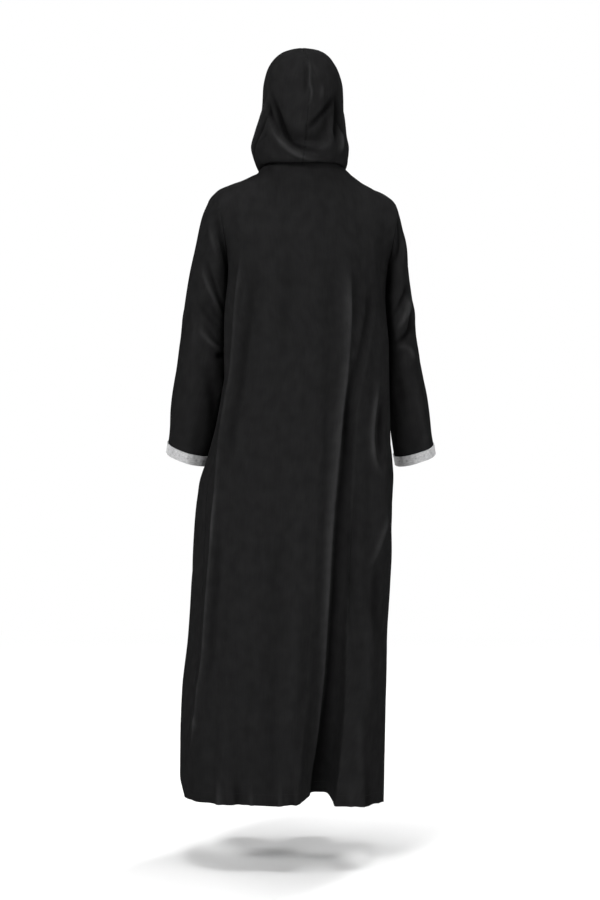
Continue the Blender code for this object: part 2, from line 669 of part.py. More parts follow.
def wall_piece(name, outer, inner, triangles, closed_ring, facing, material, collection):
    """A named solid between two layers of points."""
    rows, columns = outer.shape[:2]
    used = columns - 1 if closed_ring else columns
    points = np.concatenate([outer[:, :used].reshape(-1, 3), inner[:, :used].reshape(-1, 3)])
    mesh = bpy.data.meshes.new(name)
    faces = wall_faces(triangles, rows, columns, closed_ring, facing)
    mesh.from_pydata([tuple(point) for point in points], [], faces)
    mesh.update()
    mesh.shade_smooth()
    mesh.set_sharp_from_angle(angle=math.radians(SHARP_EDGE_DEGREES))
    mesh.materials.append(material)
    piece = bpy.data.objects.new(name, mesh)
    collection.objects.link(piece)
    return piece


def cloth_material(name, colour, roughness):
    material = bpy.data.materials.new(name)
    material.use_nodes = True
    shader = material.node_tree.nodes["Principled BSDF"]
    shader.inputs["Base Color"].default_value = colour
    shader.inputs["Roughness"].default_value = roughness
    shader.inputs["Metallic"].default_value = 0.0
    return material


def main():
    for old in list(bpy.data.objects):
        bpy.data.objects.remove(old, do_unlink=True)
    collection = bpy.data.collections.new("djellaba")
    bpy.context.scene.collection.children.link(collection)
    form, grids = build_form()
    points = np.array(form.points)
    normals = form_normals(points, grids)
    points = points + normals * drape_swell(points, normals, grids)[:, None]
    # The hood folds sharply away from the shoulders, so each side of that seam has its own thickness.
    hood = {name: grid for name, grid in grids.items() if name.startswith("hood")}
    robe = {name: grid for name, grid in grids.items() if name not in hood}
    hood_normals = form_normals(points, hood)
    robe_normals = form_normals(points, robe)

    for name, grid in grids.items():
        closed_ring = name.startswith("sleeve")
        numbers = np.array(grid)
        normals = hood_normals if name in hood else robe_normals
        triangles = grid_triangles(points, grid)
        outer = moved_in(points[numbers], closed_ring)
        inner = outer - normals[numbers] * CLOTH
        material = cloth_material(name + "_cloth", BLACK_CLOTH, BLACK_CLOTH_ROUGHNESS)
        wall_piece(name, outer, inner, triangles, closed_ring, FACING[name], material, collection)
        if closed_ring:
            add_band(name, numbers, points, normals, collection)


def add_band(sleeve, numbers, points, normals, collection):
    """The woven band sewn on round the end of a sleeve."""
    name = sleeve.replace("sleeve", "cuff")
    last_rows = numbers[-BAND_ROWS - 1 :]
    triangles = grid_triangles(points, last_rows.tolist())
    inner = points[last_rows] + normals[last_rows] * SEAM_GAP
    outer = inner + normals[last_rows] * BAND_THICKNESS
    material = cloth_material(name + "_band", SILVER_BAND, SILVER_BAND_ROUGHNESS)
    wall_piece(name, outer, inner, triangles, True, FACING[sleeve], material, collection)


main()
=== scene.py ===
"""The looks of the hooded djellaba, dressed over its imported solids.

The garment's form is worked out again here from the same sizes as its solids, with far finer rings and
columns, and then gets its creases, seams, stitching and woven bands. Metres, +Z up, front towards -Y.
"""

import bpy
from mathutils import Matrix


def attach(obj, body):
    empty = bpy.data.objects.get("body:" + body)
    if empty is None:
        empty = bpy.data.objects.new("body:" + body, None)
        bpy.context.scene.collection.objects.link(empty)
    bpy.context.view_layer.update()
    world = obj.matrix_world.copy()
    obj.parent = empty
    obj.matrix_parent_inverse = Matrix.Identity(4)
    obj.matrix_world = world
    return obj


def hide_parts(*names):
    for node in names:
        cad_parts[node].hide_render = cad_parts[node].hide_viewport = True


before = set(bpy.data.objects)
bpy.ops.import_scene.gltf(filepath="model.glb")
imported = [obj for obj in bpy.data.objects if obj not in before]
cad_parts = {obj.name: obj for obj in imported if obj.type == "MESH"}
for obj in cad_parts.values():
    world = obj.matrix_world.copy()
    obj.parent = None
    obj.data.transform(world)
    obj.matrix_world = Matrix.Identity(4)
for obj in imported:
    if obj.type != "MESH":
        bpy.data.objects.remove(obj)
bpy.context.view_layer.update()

import math

import bpy
import numpy as np
from mathutils import Vector

CLOTH_THICKNESS = 0.0014
SEAM_GAP = 0.0003
HEM_HEIGHT = -1.378
ARMPIT_HEIGHT = -0.235

# Quads along and around each part of the form.
BODY_ROWS = 160
BACK_LEFT_COLUMNS = 140
BACK_RIGHT_COLUMNS = 80
FRONT_HALF_COLUMNS = 80
SHOULDER_COLUMNS = 40
YOKE_ROWS = 36
SLEEVE_ROWS = 140
BAND_ROWS = 6
HOOD_ROWS = 112
BACK_COLUMNS = BACK_LEFT_COLUMNS + BACK_RIGHT_COLUMNS
FRONT_COLUMNS = 2 * FRONT_HALF_COLUMNS
BACK_NECK_COLUMNS = BACK_COLUMNS - 2 * SHOULDER_COLUMNS
FRONT_NECK_COLUMNS = FRONT_COLUMNS - 2 * SHOULDER_COLUMNS
SLEEVE_COLUMNS = 2 * YOKE_ROWS

BAND_HEIGHT = 0.024
BAND_THICKNESS = 0.0018

# +1 where a piece's rows by its columns turn outwards, and -1 where they turn inwards
FACING = {
    "back_panel": -1,
    "front_panel": -1,
    "sleeve_left": 1,
    "sleeve_right": -1,
    "hood_left": 1,
    "hood_right": -1,
}

SECTION_ROUNDNESS = 2.4
OUTLINE_STEPS = 1440

# height, left edge, right edge, back depth, front depth, turn of the section towards the left
BODY_SECTIONS = (
    (-1.378, 0.264, -0.1770, 0.192, 0.176, 0.00),
    (-1.346, 0.271, -0.1785, 0.191, 0.175, 0.00),
    (-1.275, 0.271, -0.1805, 0.187, 0.173, 0.00),
    (-1.167, 0.2665, -0.1825, 0.180, 0.170, 0.00),
    (-1.044, 0.254, -0.1845, 0.172, 0.168, 0.01),
    (-0.898, 0.245, -0.1920, 0.162, 0.166, 0.02),
    (-0.757, 0.237, -0.2010, 0.153, 0.162, 0.04),
    (-0.695, 0.228, -0.2020, 0.150, 0.160, 0.05),
    (-0.643, 0.2100, -0.1985, 0.148, 0.158, 0.06),
    (-0.560, 0.1865, -0.1900, 0.145, 0.156, 0.07),
    (-0.464, 0.1695, -0.1860, 0.144, 0.154, 0.09),
    (-0.370, 0.1620, -0.1860, 0.145, 0.152, 0.11),
    (-0.235, 0.1620, -0.1870, 0.144, 0.148, 0.13),
)

# height, angle of the left side seam, angle of the right side seam; 90 degrees is the middle back
SIDE_SEAMS = (
    (-1.378, 18, 198),
    (-1.300, 22, 199),
    (-1.170, 31, 200),
    (-0.900, 32, 200),
    (-0.643, 25, 198),
    (-0.450, 10, 190),
    (-0.235, 0, 180),
)

# height, place across the back, depth, width of its left wall, width of its right wall
MAIN_FOLD = (
    (-1.378, -0.041, 0.095, 0.056, 0.031),
    (-1.310, -0.048, 0.082, 0.056, 0.032),
    (-1.160, -0.060, 0.052, 0.054, 0.034),
    (-1.020, -0.067, 0.034, 0.052, 0.032),
    (-0.800, -0.076, 0.018, 0.050, 0.032),
    (-0.560, -0.090, 0.013, 0.050, 0.034),
    (-0.340, -0.132, 0.009, 0.050, 0.036),
    (-0.235, -0.146, 0.005, 0.050, 0.030),
)
LEFT_WALL_SHARPNESS = 3.0
RIGHT_WALL_SHARPNESS = 4.0

# The hem isn't level: angle round the body, height above or below the hem's own
HEM_LINE = (
    (0, -0.011),
    (40, -0.003),
    (75, 0.000),
    (120, -0.004),
    (150, -0.014),
    (180, -0.022),
    (225, -0.012),
    (270, 0.000),
    (315, -0.004),
    (360, -0.011),
)
HEM_LINE_REACH = 0.30
# How far the hem is lifted in the main fold
FOLD_LIFT = 0.013
# Heights between which the rings' columns turn from the main fold to even spacing
EVEN_COLUMNS_BELOW = -0.60
EVEN_COLUMNS_ABOVE = -0.30

BACK = 1
FRONT = -1
# face, place across at the armpits and at the hem, heights at which the fold begins and is full, heights
# at which it starts to fade and is gone, half width, swell outwards
SOFT_FOLDS = (
    (BACK, -0.176, -0.186, -0.235, -0.400, -0.700, -1.060, 0.050, 0.014),
    (BACK, -0.120, -0.118, -0.900, -1.378, -1.400, -1.500, 0.060, 0.014),
    (BACK, 0.146, 0.200, -0.235, -0.360, -0.560, -0.700, 0.050, 0.010),
    (BACK, 0.157, 0.185, -0.235, -0.285, -0.370, -0.480, 0.036, 0.009),
    (BACK, 0.150, 0.222, -0.600, -0.760, -1.400, -1.500, 0.034, 0.007),
    (BACK, 0.060, 0.105, -0.560, -1.300, -1.400, -1.500, 0.060, -0.012),
    (BACK, 0.120, 0.165, -0.700, -1.300, -1.400, -1.500, 0.045, 0.008),
    (FRONT, -0.075, -0.098, -0.350, -1.378, -1.400, -1.500, 0.046, -0.040),
    (FRONT, -0.020, -0.030, -0.250, -1.378, -1.400, -1.500, 0.050, 0.014),
    (FRONT, 0.048, 0.062, -0.420, -1.378, -1.400, -1.500, 0.050, -0.046),
    (FRONT, 0.120, 0.150, -0.300, -1.378, -1.400, -1.500, 0.050, 0.012),
    (FRONT, 0.150, 0.208, -0.640, -1.378, -1.400, -1.500, 0.040, -0.024),
    (FRONT, -0.150, -0.150, -0.600, -1.378, -1.400, -1.500, 0.036, 0.010),
)

# The shoulder lines run from the top of each armhole to the neck: place across, height
LEFT_SHOULDER = ((0.094, 0.002), (0.130, -0.015), (0.160, -0.0275), (0.186, -0.038), (0.206, -0.056))
RIGHT_SHOULDER = ((0.0945, 0.002), (0.120, -0.018), (0.150, -0.033), (0.176, -0.046), (0.196, -0.060))
SHOULDER_TURN = 0.11
NECK_HALF_WIDTH = 0.094
NECK_BACK_DEPTH = 0.080
NECK_RISE = 0.022
NECK_SIDE_HEIGHT = 0.002
THROAT_DEPTH = 0.118
THROAT_HEIGHT = -0.090
THROAT_SLIT_HALF_WIDTH = 0.006
# How the neckline's places across, depths and heights bend between the side of the neck and the throat
NECKLINE_BENDS = (1.4, 0.75, 1.3)
YOKE_SHOULDER_ROUNDNESS = 2.3
YOKE_NECK_ROUNDNESS = {BACK: 1.45, FRONT: 2.2}
# Share of a yoke's row, from each end, over which the shoulders' roundness turns to the neck's
YOKE_NECK_FADE = 1 / 4
# The corners at the sides of the neck are rounded over this share of a row, below this share of the height
YOKE_EASING = 0.24
YOKE_EASED_BELOW = 0.45

# side, face, how far the armhole's edge stands out sideways, how far it stands back or forward
ARMHOLES = (
    (1, BACK, -0.006, 0.080),
    (1, FRONT, 0.014, 0.076),
    (-1, BACK, 0.018, 0.080),
    (-1, FRONT, -0.004, 0.080),
)
ARMHOLE_REACH = 0.46
ARMHOLE_FULLNESS = 0.9

# share of the length, outer edge and its height, inner edge and its height, middle, half depth
LEFT_SLEEVE = (
    (0.00, 0.2060, -0.056, 0.1640, -0.235, 0.024, 0.085),
    (0.10, 0.2240, -0.096, 0.1670, -0.258, 0.018, 0.080),
    (0.22, 0.2385, -0.162, 0.1670, -0.287, 0.004, 0.076),
    (0.34, 0.2530, -0.230, 0.1660, -0.327, -0.012, 0.073),
    (0.46, 0.2660, -0.305, 0.1655, -0.378, -0.026, 0.071),
    (0.62, 0.2790, -0.400, 0.1680, -0.448, -0.040, 0.068),
    (0.80, 0.2940, -0.513, 0.1830, -0.545, -0.056, 0.062),
    (0.92, 0.3010, -0.585, 0.2030, -0.613, -0.066, 0.056),
    (1.00, 0.3080, -0.628, 0.2160, -0.656, -0.072, 0.054),
)
RIGHT_SLEEVE = (
    (0.00, -0.1960, -0.060, -0.1870, -0.235, -0.024, 0.085),
    (0.10, -0.2145, -0.105, -0.1890, -0.258, -0.030, 0.080),
    (0.22, -0.2340, -0.165, -0.1895, -0.287, -0.040, 0.076),
    (0.34, -0.2440, -0.238, -0.1900, -0.327, -0.050, 0.073),
    (0.46, -0.2540, -0.312, -0.1905, -0.378, -0.060, 0.071),
    (0.62, -0.2690, -0.405, -0.1920, -0.448, -0.076, 0.068),
    (0.80, -0.2870, -0.515, -0.1990, -0.545, -0.102, 0.062),
    (0.92, -0.2990, -0.588, -0.2080, -0.614, -0.120, 0.056),
    (1.00, -0.3070, -0.630, -0.2160, -0.657, -0.128, 0.054),
)
SLEEVE_ROUNDNESS = 2.2
SLEEVE_BACK_DROP = 0.012
ARMHOLE_BLEND = 0.40

# share of the way up, half width left and right, place of the back seam, side depth and height,
# back depth and height, face edge place, depth and height
HOOD_SECTIONS = (
    (0.00, 0.094, 0.0940, 0.000, 0.000, 0.002, 0.080, 0.024, 0.0060, -0.118, -0.090),
    (0.06, 0.100, 0.0990, -0.001, 0.002, 0.012, 0.105, 0.010, 0.0110, -0.121, -0.070),
    (0.13, 0.106, 0.1030, -0.004, 0.002, 0.028, 0.117, 0.022, 0.0210, -0.125, -0.040),
    (0.20, 0.109, 0.1010, -0.007, 0.000, 0.052, 0.118, 0.050, 0.0360, -0.129, -0.004),
    (0.32, 0.102, 0.0935, -0.011, -0.004, 0.088, 0.114, 0.093, 0.0560, -0.130, 0.048),
    (0.44, 0.094, 0.0925, -0.014, -0.008, 0.125, 0.114, 0.130, 0.0670, -0.129, 0.092),
    (0.55, 0.089, 0.0925, -0.016, -0.010, 0.157, 0.113, 0.160, 0.0710, -0.128, 0.128),
    (0.64, 0.0870, 0.0910, -0.017, -0.012, 0.193, 0.110, 0.186, 0.0705, -0.127, 0.162),
    (0.73, 0.0785, 0.0815, -0.017, -0.014, 0.230, 0.102, 0.211, 0.0650, -0.126, 0.196),
    (0.82, 0.0595, 0.0635, -0.015, -0.016, 0.2595, 0.089, 0.234, 0.0510, -0.124, 0.226),
    (0.91, 0.0320, 0.0350, -0.011, -0.018, 0.2785, 0.072, 0.253, 0.0280, -0.122, 0.248),
    (1.00, 0.000, 0.0000, -0.005, -0.020, 0.2845, 0.051, 0.268, 0.0000, -0.120, 0.257),
)
HOOD_BACK_ROUNDNESS = 2.1
# How fast the hood's sections leave the shape of the neckline on their way up
HOOD_NECK_FADE = 6

MILLIMETRE = 0.001
# Folds and creases that run along curves over a piece, seen square to one side of the garment.
# Each group: kind or name of the piece, the side from which its places are read, and its folds.
# Each fold, in millimetres: half widths right and left of its line, for one who walks along it, and how far
# it stands out; then how pointed it is, from 1, a sharp crest, to 2, round; then the places along its line,
# again in millimetres, each across and up. Across is x on the back and front, and y on the sides.
FOLDS = (
    # The largest drapes, which the solids have too.
    ("hood", "back", (
        (21, 21, 7, 2, 80, 160, 62, 78, 21, 39, -8, 34, -46, 38, -72, 85, -80, 170),
        (22, 22, -8, 2, 66, 170, 52, 98, 22, 66, -8, 62, -40, 64, -60, 96, -66, 170),
    )),
    ("sleeve_left", "back", (
        (26, 26, -6, 2, 230, -276, 200, -300, 175, -330),
        (28, 28, 6, 2, 240, -335, 205, -365, 180, -390),
    )),
    ("sleeve_right", "back", (
        (32, 32, 7, 2, -246, -250, -240, -345, -205, -390),
        (26, 26, -6, 2, -262, -300, -232, -372, -202, -425),
    )),
    ("sleeve_left", "front", (
        (28, 28, -7, 2, 270, -300, 235, -335, 195, -345),
    )),
    ("sleeve_right", "front", (
        (28, 28, -7, 2, -258, -310, -232, -345, -200, -355),
    )),
    # The crest and the valley of the long fold down the right of the back.
    ("panel", "back", (
        (7, 34, 6.6, 1.4, -103, -190, -104, -256, -104, -350, -98, -450, -89, -538, -78, -644, -67, -765,
         -59, -888, -52, -1003, -46, -1106, -36, -1188, -26, -1262, -13, -1344, -5, -1500),
        (20, 10, -5, 1.6, -152, -220, -147, -290, -137, -350, -119, -426, -103, -493, -92, -564, -88, -640),
        (24, 8, -6.8, 1.4, -102, -490, -90, -644, -79, -765, -71, -888, -64, -1003, -58, -1106,
         -48, -1188, -38, -1262, -25, -1344, -17, -1500),
        (10, 10, 3.6, 1.5, -139, -262, -134, -330, -127, -383, -110, -463),
        (12, 12, -2.4, 2, -119, -215, -117, -290, -117, -359),
        # The drape over the right hip.
        (8, 12, 10, 1.3, -176, -445, -160, -520, -153, -590, -160, -644, -176, -670, -196, -692),
        (14, 8, -6, 1.6, -180, -490, -172, -550, -170, -610, -178, -650),
        (9, 13, 7.2, 1.5, -195, -735, -181, -790, -161, -845, -134, -890),
        (16, 20, 5.6, 2, -140, -925, -145, -1013, -143, -1115, -146, -1230),
        (24, 20, -5.6, 2, -118, -700, -106, -810, -104, -920, -110, -1030),
        (14, 14, -4, 2, -168, -850, -160, -960, -166, -1060),
        (20, 14, 4.4, 2, -120, -1100, -122, -1220, -126, -1500),
        # The left of the back: a long ridge from the shoulder blade to the hip, its valley, and the side.
        (10, 5, 5, 1.4, 126, -150, 136, -225, 144, -290, 150, -360, 157, -450, 168, -510, 181, -600,
         190, -720, 199, -850),
        (18, 16, -4.8, 2, 96, -190, 107, -250, 121, -340, 138, -467, 154, -575, 166, -680),
        (9, 5, 6.4, 1.3, 188, -690, 201, -860, 212, -1003, 218, -1078, 227, -1140, 232, -1212, 241, -1262,
         249, -1310),
        (16, 16, -4.4, 2, 182, -760, 190, -900, 199, -1040, 205, -1150),
        (8, 8, 4.4, 1.2, 226, -1196, 232, -1210, 229, -1222, 236, -1232),
        # Faint long hangs down the middle.
        (22, 22, 2.8, 2, 60, -120, 64, -260, 72, -420, 78, -560),
        (18, 22, -2.8, 2, 30, -150, 30, -290, 40, -450),
        (20, 20, 2.4, 2, -30, -180, -26, -330, -22, -520),
        (20, 24, -2.6, 2, -66, -150, -66, -300, -60, -430, -50, -600),
        (26, 26, 3.2, 2, 100, -700, 112, -900, 124, -1100, 132, -1300),
        (24, 24, -3.2, 2, 52, -760, 60, -960, 70, -1160, 78, -1500),
        (26, 20, 3, 2, 6, -640, 10, -860, 20, -1060, 30, -1240),
        (18, 18, -3.2, 2, -20, -900, -10, -1060, 4, -1200, 10, -1330),
        # Pulls below the neck, and the fold line left from packing.
        (7, 7, -2.4, 1.5, 62, -36, 57, -48, 52, -66),
        (7, 7, -2, 1.5, -49, -62, -50, -84, -48, -106),
        (10, 10, 2, 1.8, 74, -50, 66, -76, 64, -105),
        (8, 8, 4, 1.1, 250, -1216, 220, -1212, 188, -1210),
        (8, 8, 3.8, 1.1, 150, -1209, 113, -1205, 80, -1203),
        (8, 8, 4.8, 1.1, 62, -1200, 30, -1193, -6, -1186),
        # The cloth lifts and ripples a little along the hem.
        (10, 12, 6, 2, 176, -1290, 178, -1340, 180, -1500),
        (12, 10, -5.2, 2, 140, -1300, 138, -1350, 136, -1500),
        (9, 9, 4.8, 2, 106, -1310, 108, -1352, 109, -1500),
        (10, 10, 5.2, 2, 40, -1306, 46, -1350, 50, -1500),
        (8, 8, -4.4, 2, 18, -1320, 22, -1356, 24, -1500),
        (10, 10, 5.2, 2, -100, -1300, -104, -1350, -106, -1500),
        (10, 12, -4.8, 2, -140, -1290, -143, -1340, -146, -1500),
    )),
    # The front, finished like the back: long hangs from the chest, and softer ones between the deep folds.
    ("panel", "front", (
        (16, 20, 6.8, 1.8, 108, -150, 116, -260, 124, -400, 136, -560),
        (14, 18, -5.6, 2, 86, -180, 92, -300, 100, -450, 106, -620),
        (18, 16, 6.4, 1.8, -112, -160, -118, -280, -124, -430, -134, -600, -140, -760),
        (16, 16, -5.2, 2, -88, -190, -90, -320, -98, -480, -104, -600),
        (18, 18, 4, 2, 30, -170, 36, -320, 40, -480),
        (18, 18, -3.6, 2, -10, -190, -8, -360, -6, -560),
        (18, 18, 3.6, 2, -46, -200, -46, -360, -42, -540),
        (8, 8, -2.8, 1.5, 30, -102, 44, -120, 60, -150),
        (8, 8, -2.8, 1.5, -28, -104, -40, -126, -52, -160),
        (10, 14, 6, 1.6, 18, -640, 26, -860, 30, -1080, 34, -1500),
        (14, 10, 6, 1.6, -40, -640, -46, -860, -50, -1080, -52, -1500),
        (20, 20, -4.4, 2, -8, -760, -10, -980, -12, -1200, -14, -1500),
        (16, 20, 6.4, 1.8, 146, -560, 160, -720, 168, -900, 172, -1100),
        (14, 14, -5.2, 2, 116, -660, 124, -840, 130, -1020, 132, -1200),
        (14, 16, 6, 1.8, -150, -700, -158, -880, -156, -1060, -154, -1240),
        (14, 14, -4.8, 2, -128, -820, -130, -1000, -128, -1180),
        (4, 5, 2.2, 1.1, -160, -1190, -100, -1196, -30, -1200),
        (4, 5, 2, 1.1, 20, -1202, 90, -1208, 180, -1216),
        (10, 10, 5.6, 2, 150, -1290, 154, -1340, 156, -1500),
        (10, 10, -4.8, 2, 190, -1290, 196, -1340, 198, -1500),
        (10, 10, 5.2, 2, -120, -1300, -122, -1345, -124, -1500),
        (10, 10, 4.8, 2, -10, -1310, -10, -1350, -10, -1500),
    )),
    # The sides, from the armpits down.
    ("panel", "left", (
        (16, 14, -6.8, 1.8, 50, -330, 44, -440, 30, -560, 20, -680),
        (14, 16, 6.8, 1.8, 14, -380, 6, -500, -6, -640, -20, -780),
        (18, 18, -6, 2, -46, -520, -50, -680, -60, -860, -66, -1040),
        (18, 18, 6, 2, -20, -820, -24, -1000, -28, -1180, -30, -1500),
        (18, 18, -5.6, 2, 24, -860, 24, -1020, 22, -1180, 20, -1500),
    )),
    ("panel", "right", (
        (16, 14, -6.8, 1.8, 20, -340, 14, -460, 4, -580, -6, -700),
        (14, 16, 6.8, 1.8, -30, -360, -36, -500, -44, -660, -48, -820),
        (18, 18, 6, 2, 30, -760, 28, -940, 24, -1120, 22, -1500),
        (18, 18, -6, 2, -14, -820, -16, -1000, -18, -1200, -20, -1500),
        (16, 16, 4.8, 2, -70, -900, -72, -1080, -74, -1260, -74, -1500),
        # The right side stands out at the hip, beside the cuff.
        (60, 60, 4.2, 2, -10, -560, -10, -620, -10, -720),
    )),
    # Where each sleeve's inner side swells against the body.
    ("sleeve_left", "right", (
        (45, 45, 7, 2, 36, -225, 22, -262, 4, -310),
    )),
    ("sleeve_right", "left", (
        (45, 45, 7, 2, -10, -240, -32, -290, -50, -340),
    )),
    # The left sleeve: creases that gather at the inside of the elbow, and soft hangs.
    ("sleeve_left", "back", (
        (6, 7, -7.2, 1.4, 212, -186, 205, -222, 191.5, -259, 176, -298, 163, -323),
        (9, 8, 6.8, 1.6, 224, -196, 214, -236, 200, -274, 182, -310, 164, -334),
        (8, 8, -4.4, 1.8, 233, -285, 216, -314, 198, -334, 176, -343),
        (6, 7, -6.4, 1.4, 222, -326, 205, -356, 187, -377, 168, -386),
        (9, 7, 6.4, 1.6, 228, -345, 208, -375, 187, -391, 164, -392),
        (8, 8, -13, 1.5, 196, -416, 177, -405, 158, -392),
        (14, 10, -5.6, 2, 212, -420, 207, -475, 201, -534, 205, -590),
        (6, 7, 6, 1.6, 175, -446, 182, -486, 189, -524),
        (9, 9, 3.6, 1.8, 238, -300, 240, -390, 248, -470),
        (16, 16, 3.6, 2, 240, -480, 250, -550, 258, -700),
        (10, 10, -4.8, 1.8, 193, -92, 180, -146, 166, -196, 160, -230),
        (10, 10, 4.4, 1.8, 206, -104, 196, -156, 182, -212),
    )),
    ("sleeve_left", "front", (
        (8, 10, 6.8, 1.6, 190, -300, 220, -310, 256, -290),
        (8, 8, -6.8, 1.5, 186, -380, 214, -372, 246, -345, 262, -330),
        (10, 10, 6, 1.7, 190, -414, 220, -404, 258, -372),
        (9, 9, -5.2, 1.7, 200, -452, 226, -440, 256, -414),
        (14, 14, 4.4, 2, 222, -470, 236, -540, 250, -700),
        (12, 12, -4.8, 2, 196, -120, 204, -180, 206, -240),
    )),
    ("sleeve_left", "left", (
        (12, 12, 2.9, 1.8, 40, -240, 10, -300, -30, -345),
        (10, 10, -3.1, 1.7, 36, -300, 4, -345, -36, -380),
        (14, 14, 2.2, 2, -20, -420, -46, -500, -64, -580),
    )),
    # The right sleeve: one strong crease hooks round the elbow.
    ("sleeve_right", "back", (
        (8, 8, -6, 1.7, -209, -92, -213, -126, -211, -170, -200, -206),
        (7, 7, -6.8, 1.5, -240, -236, -229, -268, -217, -293, -198, -320),
        (10, 9, 6.8, 1.7, -238, -262, -231, -306, -216, -342, -200, -354),
        (8, 7, -10.4, 1.3, -243, -292, -241, -344, -227, -367, -210, -375, -192, -377),
        (10, 9, 8.4, 1.6, -196, -390, -214, -388, -234, -387, -246, -402, -252, -430),
        (16, 14, 5.2, 2, -246, -420, -262, -507, -280, -600, -286, -700),
        (8, 8, 4, 1.8, -222, -140, -225, -176, -222, -214),
        (14, 14, -5.2, 2, -217, -436, -222, -486, -228, -540),
    )),
    ("sleeve_right", "front", (
        (8, 10, 6.8, 1.6, -194, -310, -222, -318, -250, -300),
        (8, 8, -6.8, 1.5, -192, -390, -218, -380, -244, -352),
        (10, 10, 6, 1.7, -196, -424, -222, -412, -252, -380),
        (9, 9, -4.8, 1.7, -204, -466, -230, -450, -256, -424),
        (14, 14, 4.4, 2, -222, -480, -240, -550, -252, -700),
    )),
    ("sleeve_right", "right", (
        (12, 12, 3.1, 1.8, 10, -230, -24, -296, -62, -340),
        (10, 10, -3.3, 1.7, 4, -300, -30, -350, -70, -384),
        (14, 14, 2.2, 2, -50, -430, -84, -510, -112, -590),
    )),
    # The hood's back: a wavy ridge beside the seam, the slung fold at the nape and what gathers in it.
    ("hood", "back", (
        (9, 7, 5.6, 1.5, -13, 258, -16.5, 210, -16.5, 182, -20, 160, -16, 138, -6, 118),
        (7, 6, -4, 1.6, -4, 240, -9, 200, -6, 166, -10, 148),
        (5, 5, 4, 1.5, -4, 128, 4, 108, 6, 84),
        (8, 10, 3.6, 1.8, -43, 184, -44, 162, -41, 140),
        (7, 6, 7.2, 1.5, 75, 146, 67, 108, 56, 74, 37, 44, 14, 25, -12, 16, -37, 15, -57, 21, -68, 38),
        (7, 6, -8.4, 1.5, 80, 166, 72, 124, 60, 90, 47, 62, 28, 43),
        (8, 6, -8.8, 1.5, 74, 186, 67, 158, 52, 111, 39, 74, 18, 47, -13, 36, -40, 32, -58, 34),
        (8, 7, -6.4, 1.5, 34, 52, 8, 41, -16, 34, -42, 31, -64, 34),
        (4, 4, 4.4, 1.5, 12, 59, -10, 54, -36, 52, -56, 50),
        (4, 4, 4, 1.5, -28, 36, -38, 37, -46, 34),
        (10, 9, -6.4, 1.8, -78, 176, -62, 140, -36, 107, -12, 84, 4, 66),
        (9, 9, -11, 1.6, -77, 180, -79, 132, -74, 84, -67, 40),
        (6, 6, 4, 1.7, -68, 120, -64, 90, -60, 62),
        (4, 4, -3.6, 1.5, 73, 81, 88, 68, 100, 54),
        (9, 9, 9, 1.6, -86, 96, -86, 60, -83, 28),
    )),
    # Its sides and front edge.
    ("hood_left", "left", (
        (12, 12, 6.8, 1.8, 60, 190, 40, 130, 10, 70, -40, 10),
        (10, 10, -6.4, 1.7, 76, 150, 56, 100, 24, 50, -30, -10),
        (12, 12, -5.6, 1.8, -20, 200, -40, 140, -60, 70, -80, 0),
        (10, 10, 4.8, 1.8, -70, 170, -86, 110, -96, 40),
    )),
    ("hood_right", "right", (
        (12, 12, 6.8, 1.8, 56, 180, 36, 120, 4, 64, -46, 6),
        (10, 10, -6.4, 1.7, 72, 140, 50, 94, 16, 44, -36, -14),
        (12, 12, -5.6, 1.8, -26, 190, -44, 130, -64, 64, -84, -4),
        (10, 10, 4.8, 1.8, -72, 160, -88, 100, -98, 34),
    )),
)
# Steps of the smooth curve between two places of a fold
FOLD_STEPS = 10
# Shares of a fold's length, and the longest stretch, over which it rises and dies away
FOLD_END_SHARE = 0.35
FOLD_END_LENGTH = 0.11
# How steeply a surface may turn from the side that a fold is read from before the fold starts to fade
FOLD_FACING = 1.8
# Each side: its axis across, the axis that it faces along, and which way
SIDES = {"back": (0, 1, 1), "front": (0, 1, -1), "left": (1, 0, 1), "right": (1, 0, -1)}

# Cloth is never quite flat: length across and along of each wave, its height and where it starts
UNEVENNESS = (
    (0.061, 0.730, 0.00042, 0.4),
    (0.087, 0.510, 0.00050, 2.1),
    (0.037, 0.340, 0.00022, 3.7),
    (0.143, 0.290, 0.00055, 5.0),
    (0.026, 0.170, 0.00012, 1.3),
)
SEAM_DIP = 0.0011
SEAM_DIP_REACH = 0.007
# Each kind's sewn edges: 0 for a row of points or 1 for a column, and 1 for the first or -1 for the last
SEWN_EDGES = {"panel": ((1, 1), (1, -1)), "sleeve": ((0, 1),), "hood": ((0, -1), (1, 1))}
# Lines of points over which the folds die away towards the armholes, the shoulders and the neck
SEAM_HOLD_LINES = 5
# How many times the heights of the folds are averaged with those beside them
SMOOTHING_STEPS = 2
# How fast a fold fades where the cloth turns to face down
UNDERSIDE = 1.6

# Rows to each side of the armpits over which the form is eased up and down, and how many times
JOIN_ROWS = 9
JOIN_STEPS = 60
# The sleeves' ends are drawn up by this much, from none at this height to all of it this far below
SLEEVE_LIFT = 0.0065
SLEEVE_LIFT_TOP = -0.43
SLEEVE_LIFT_REACH = 0.09
# Waves run along x and this share of y, so that they go on round the garment's sides
ROUND_ABOUT = 0.7
# Length across, height and start of each slow rise and fall of the hem, and how far up they reach
HEM_SWAYS = ((0.131, 0.0009, 0.3), (0.083, 0.0007, 1.9), (0.211, 0.0008, 4.0))
HEM_SWAY_REACH = 0.060
# How far the middle of a cut edge stands out, and the angle from which an edge is drawn sharp
EDGE_ROUNDING = 0.0003
SHARP_EDGE_DEGREES = 60

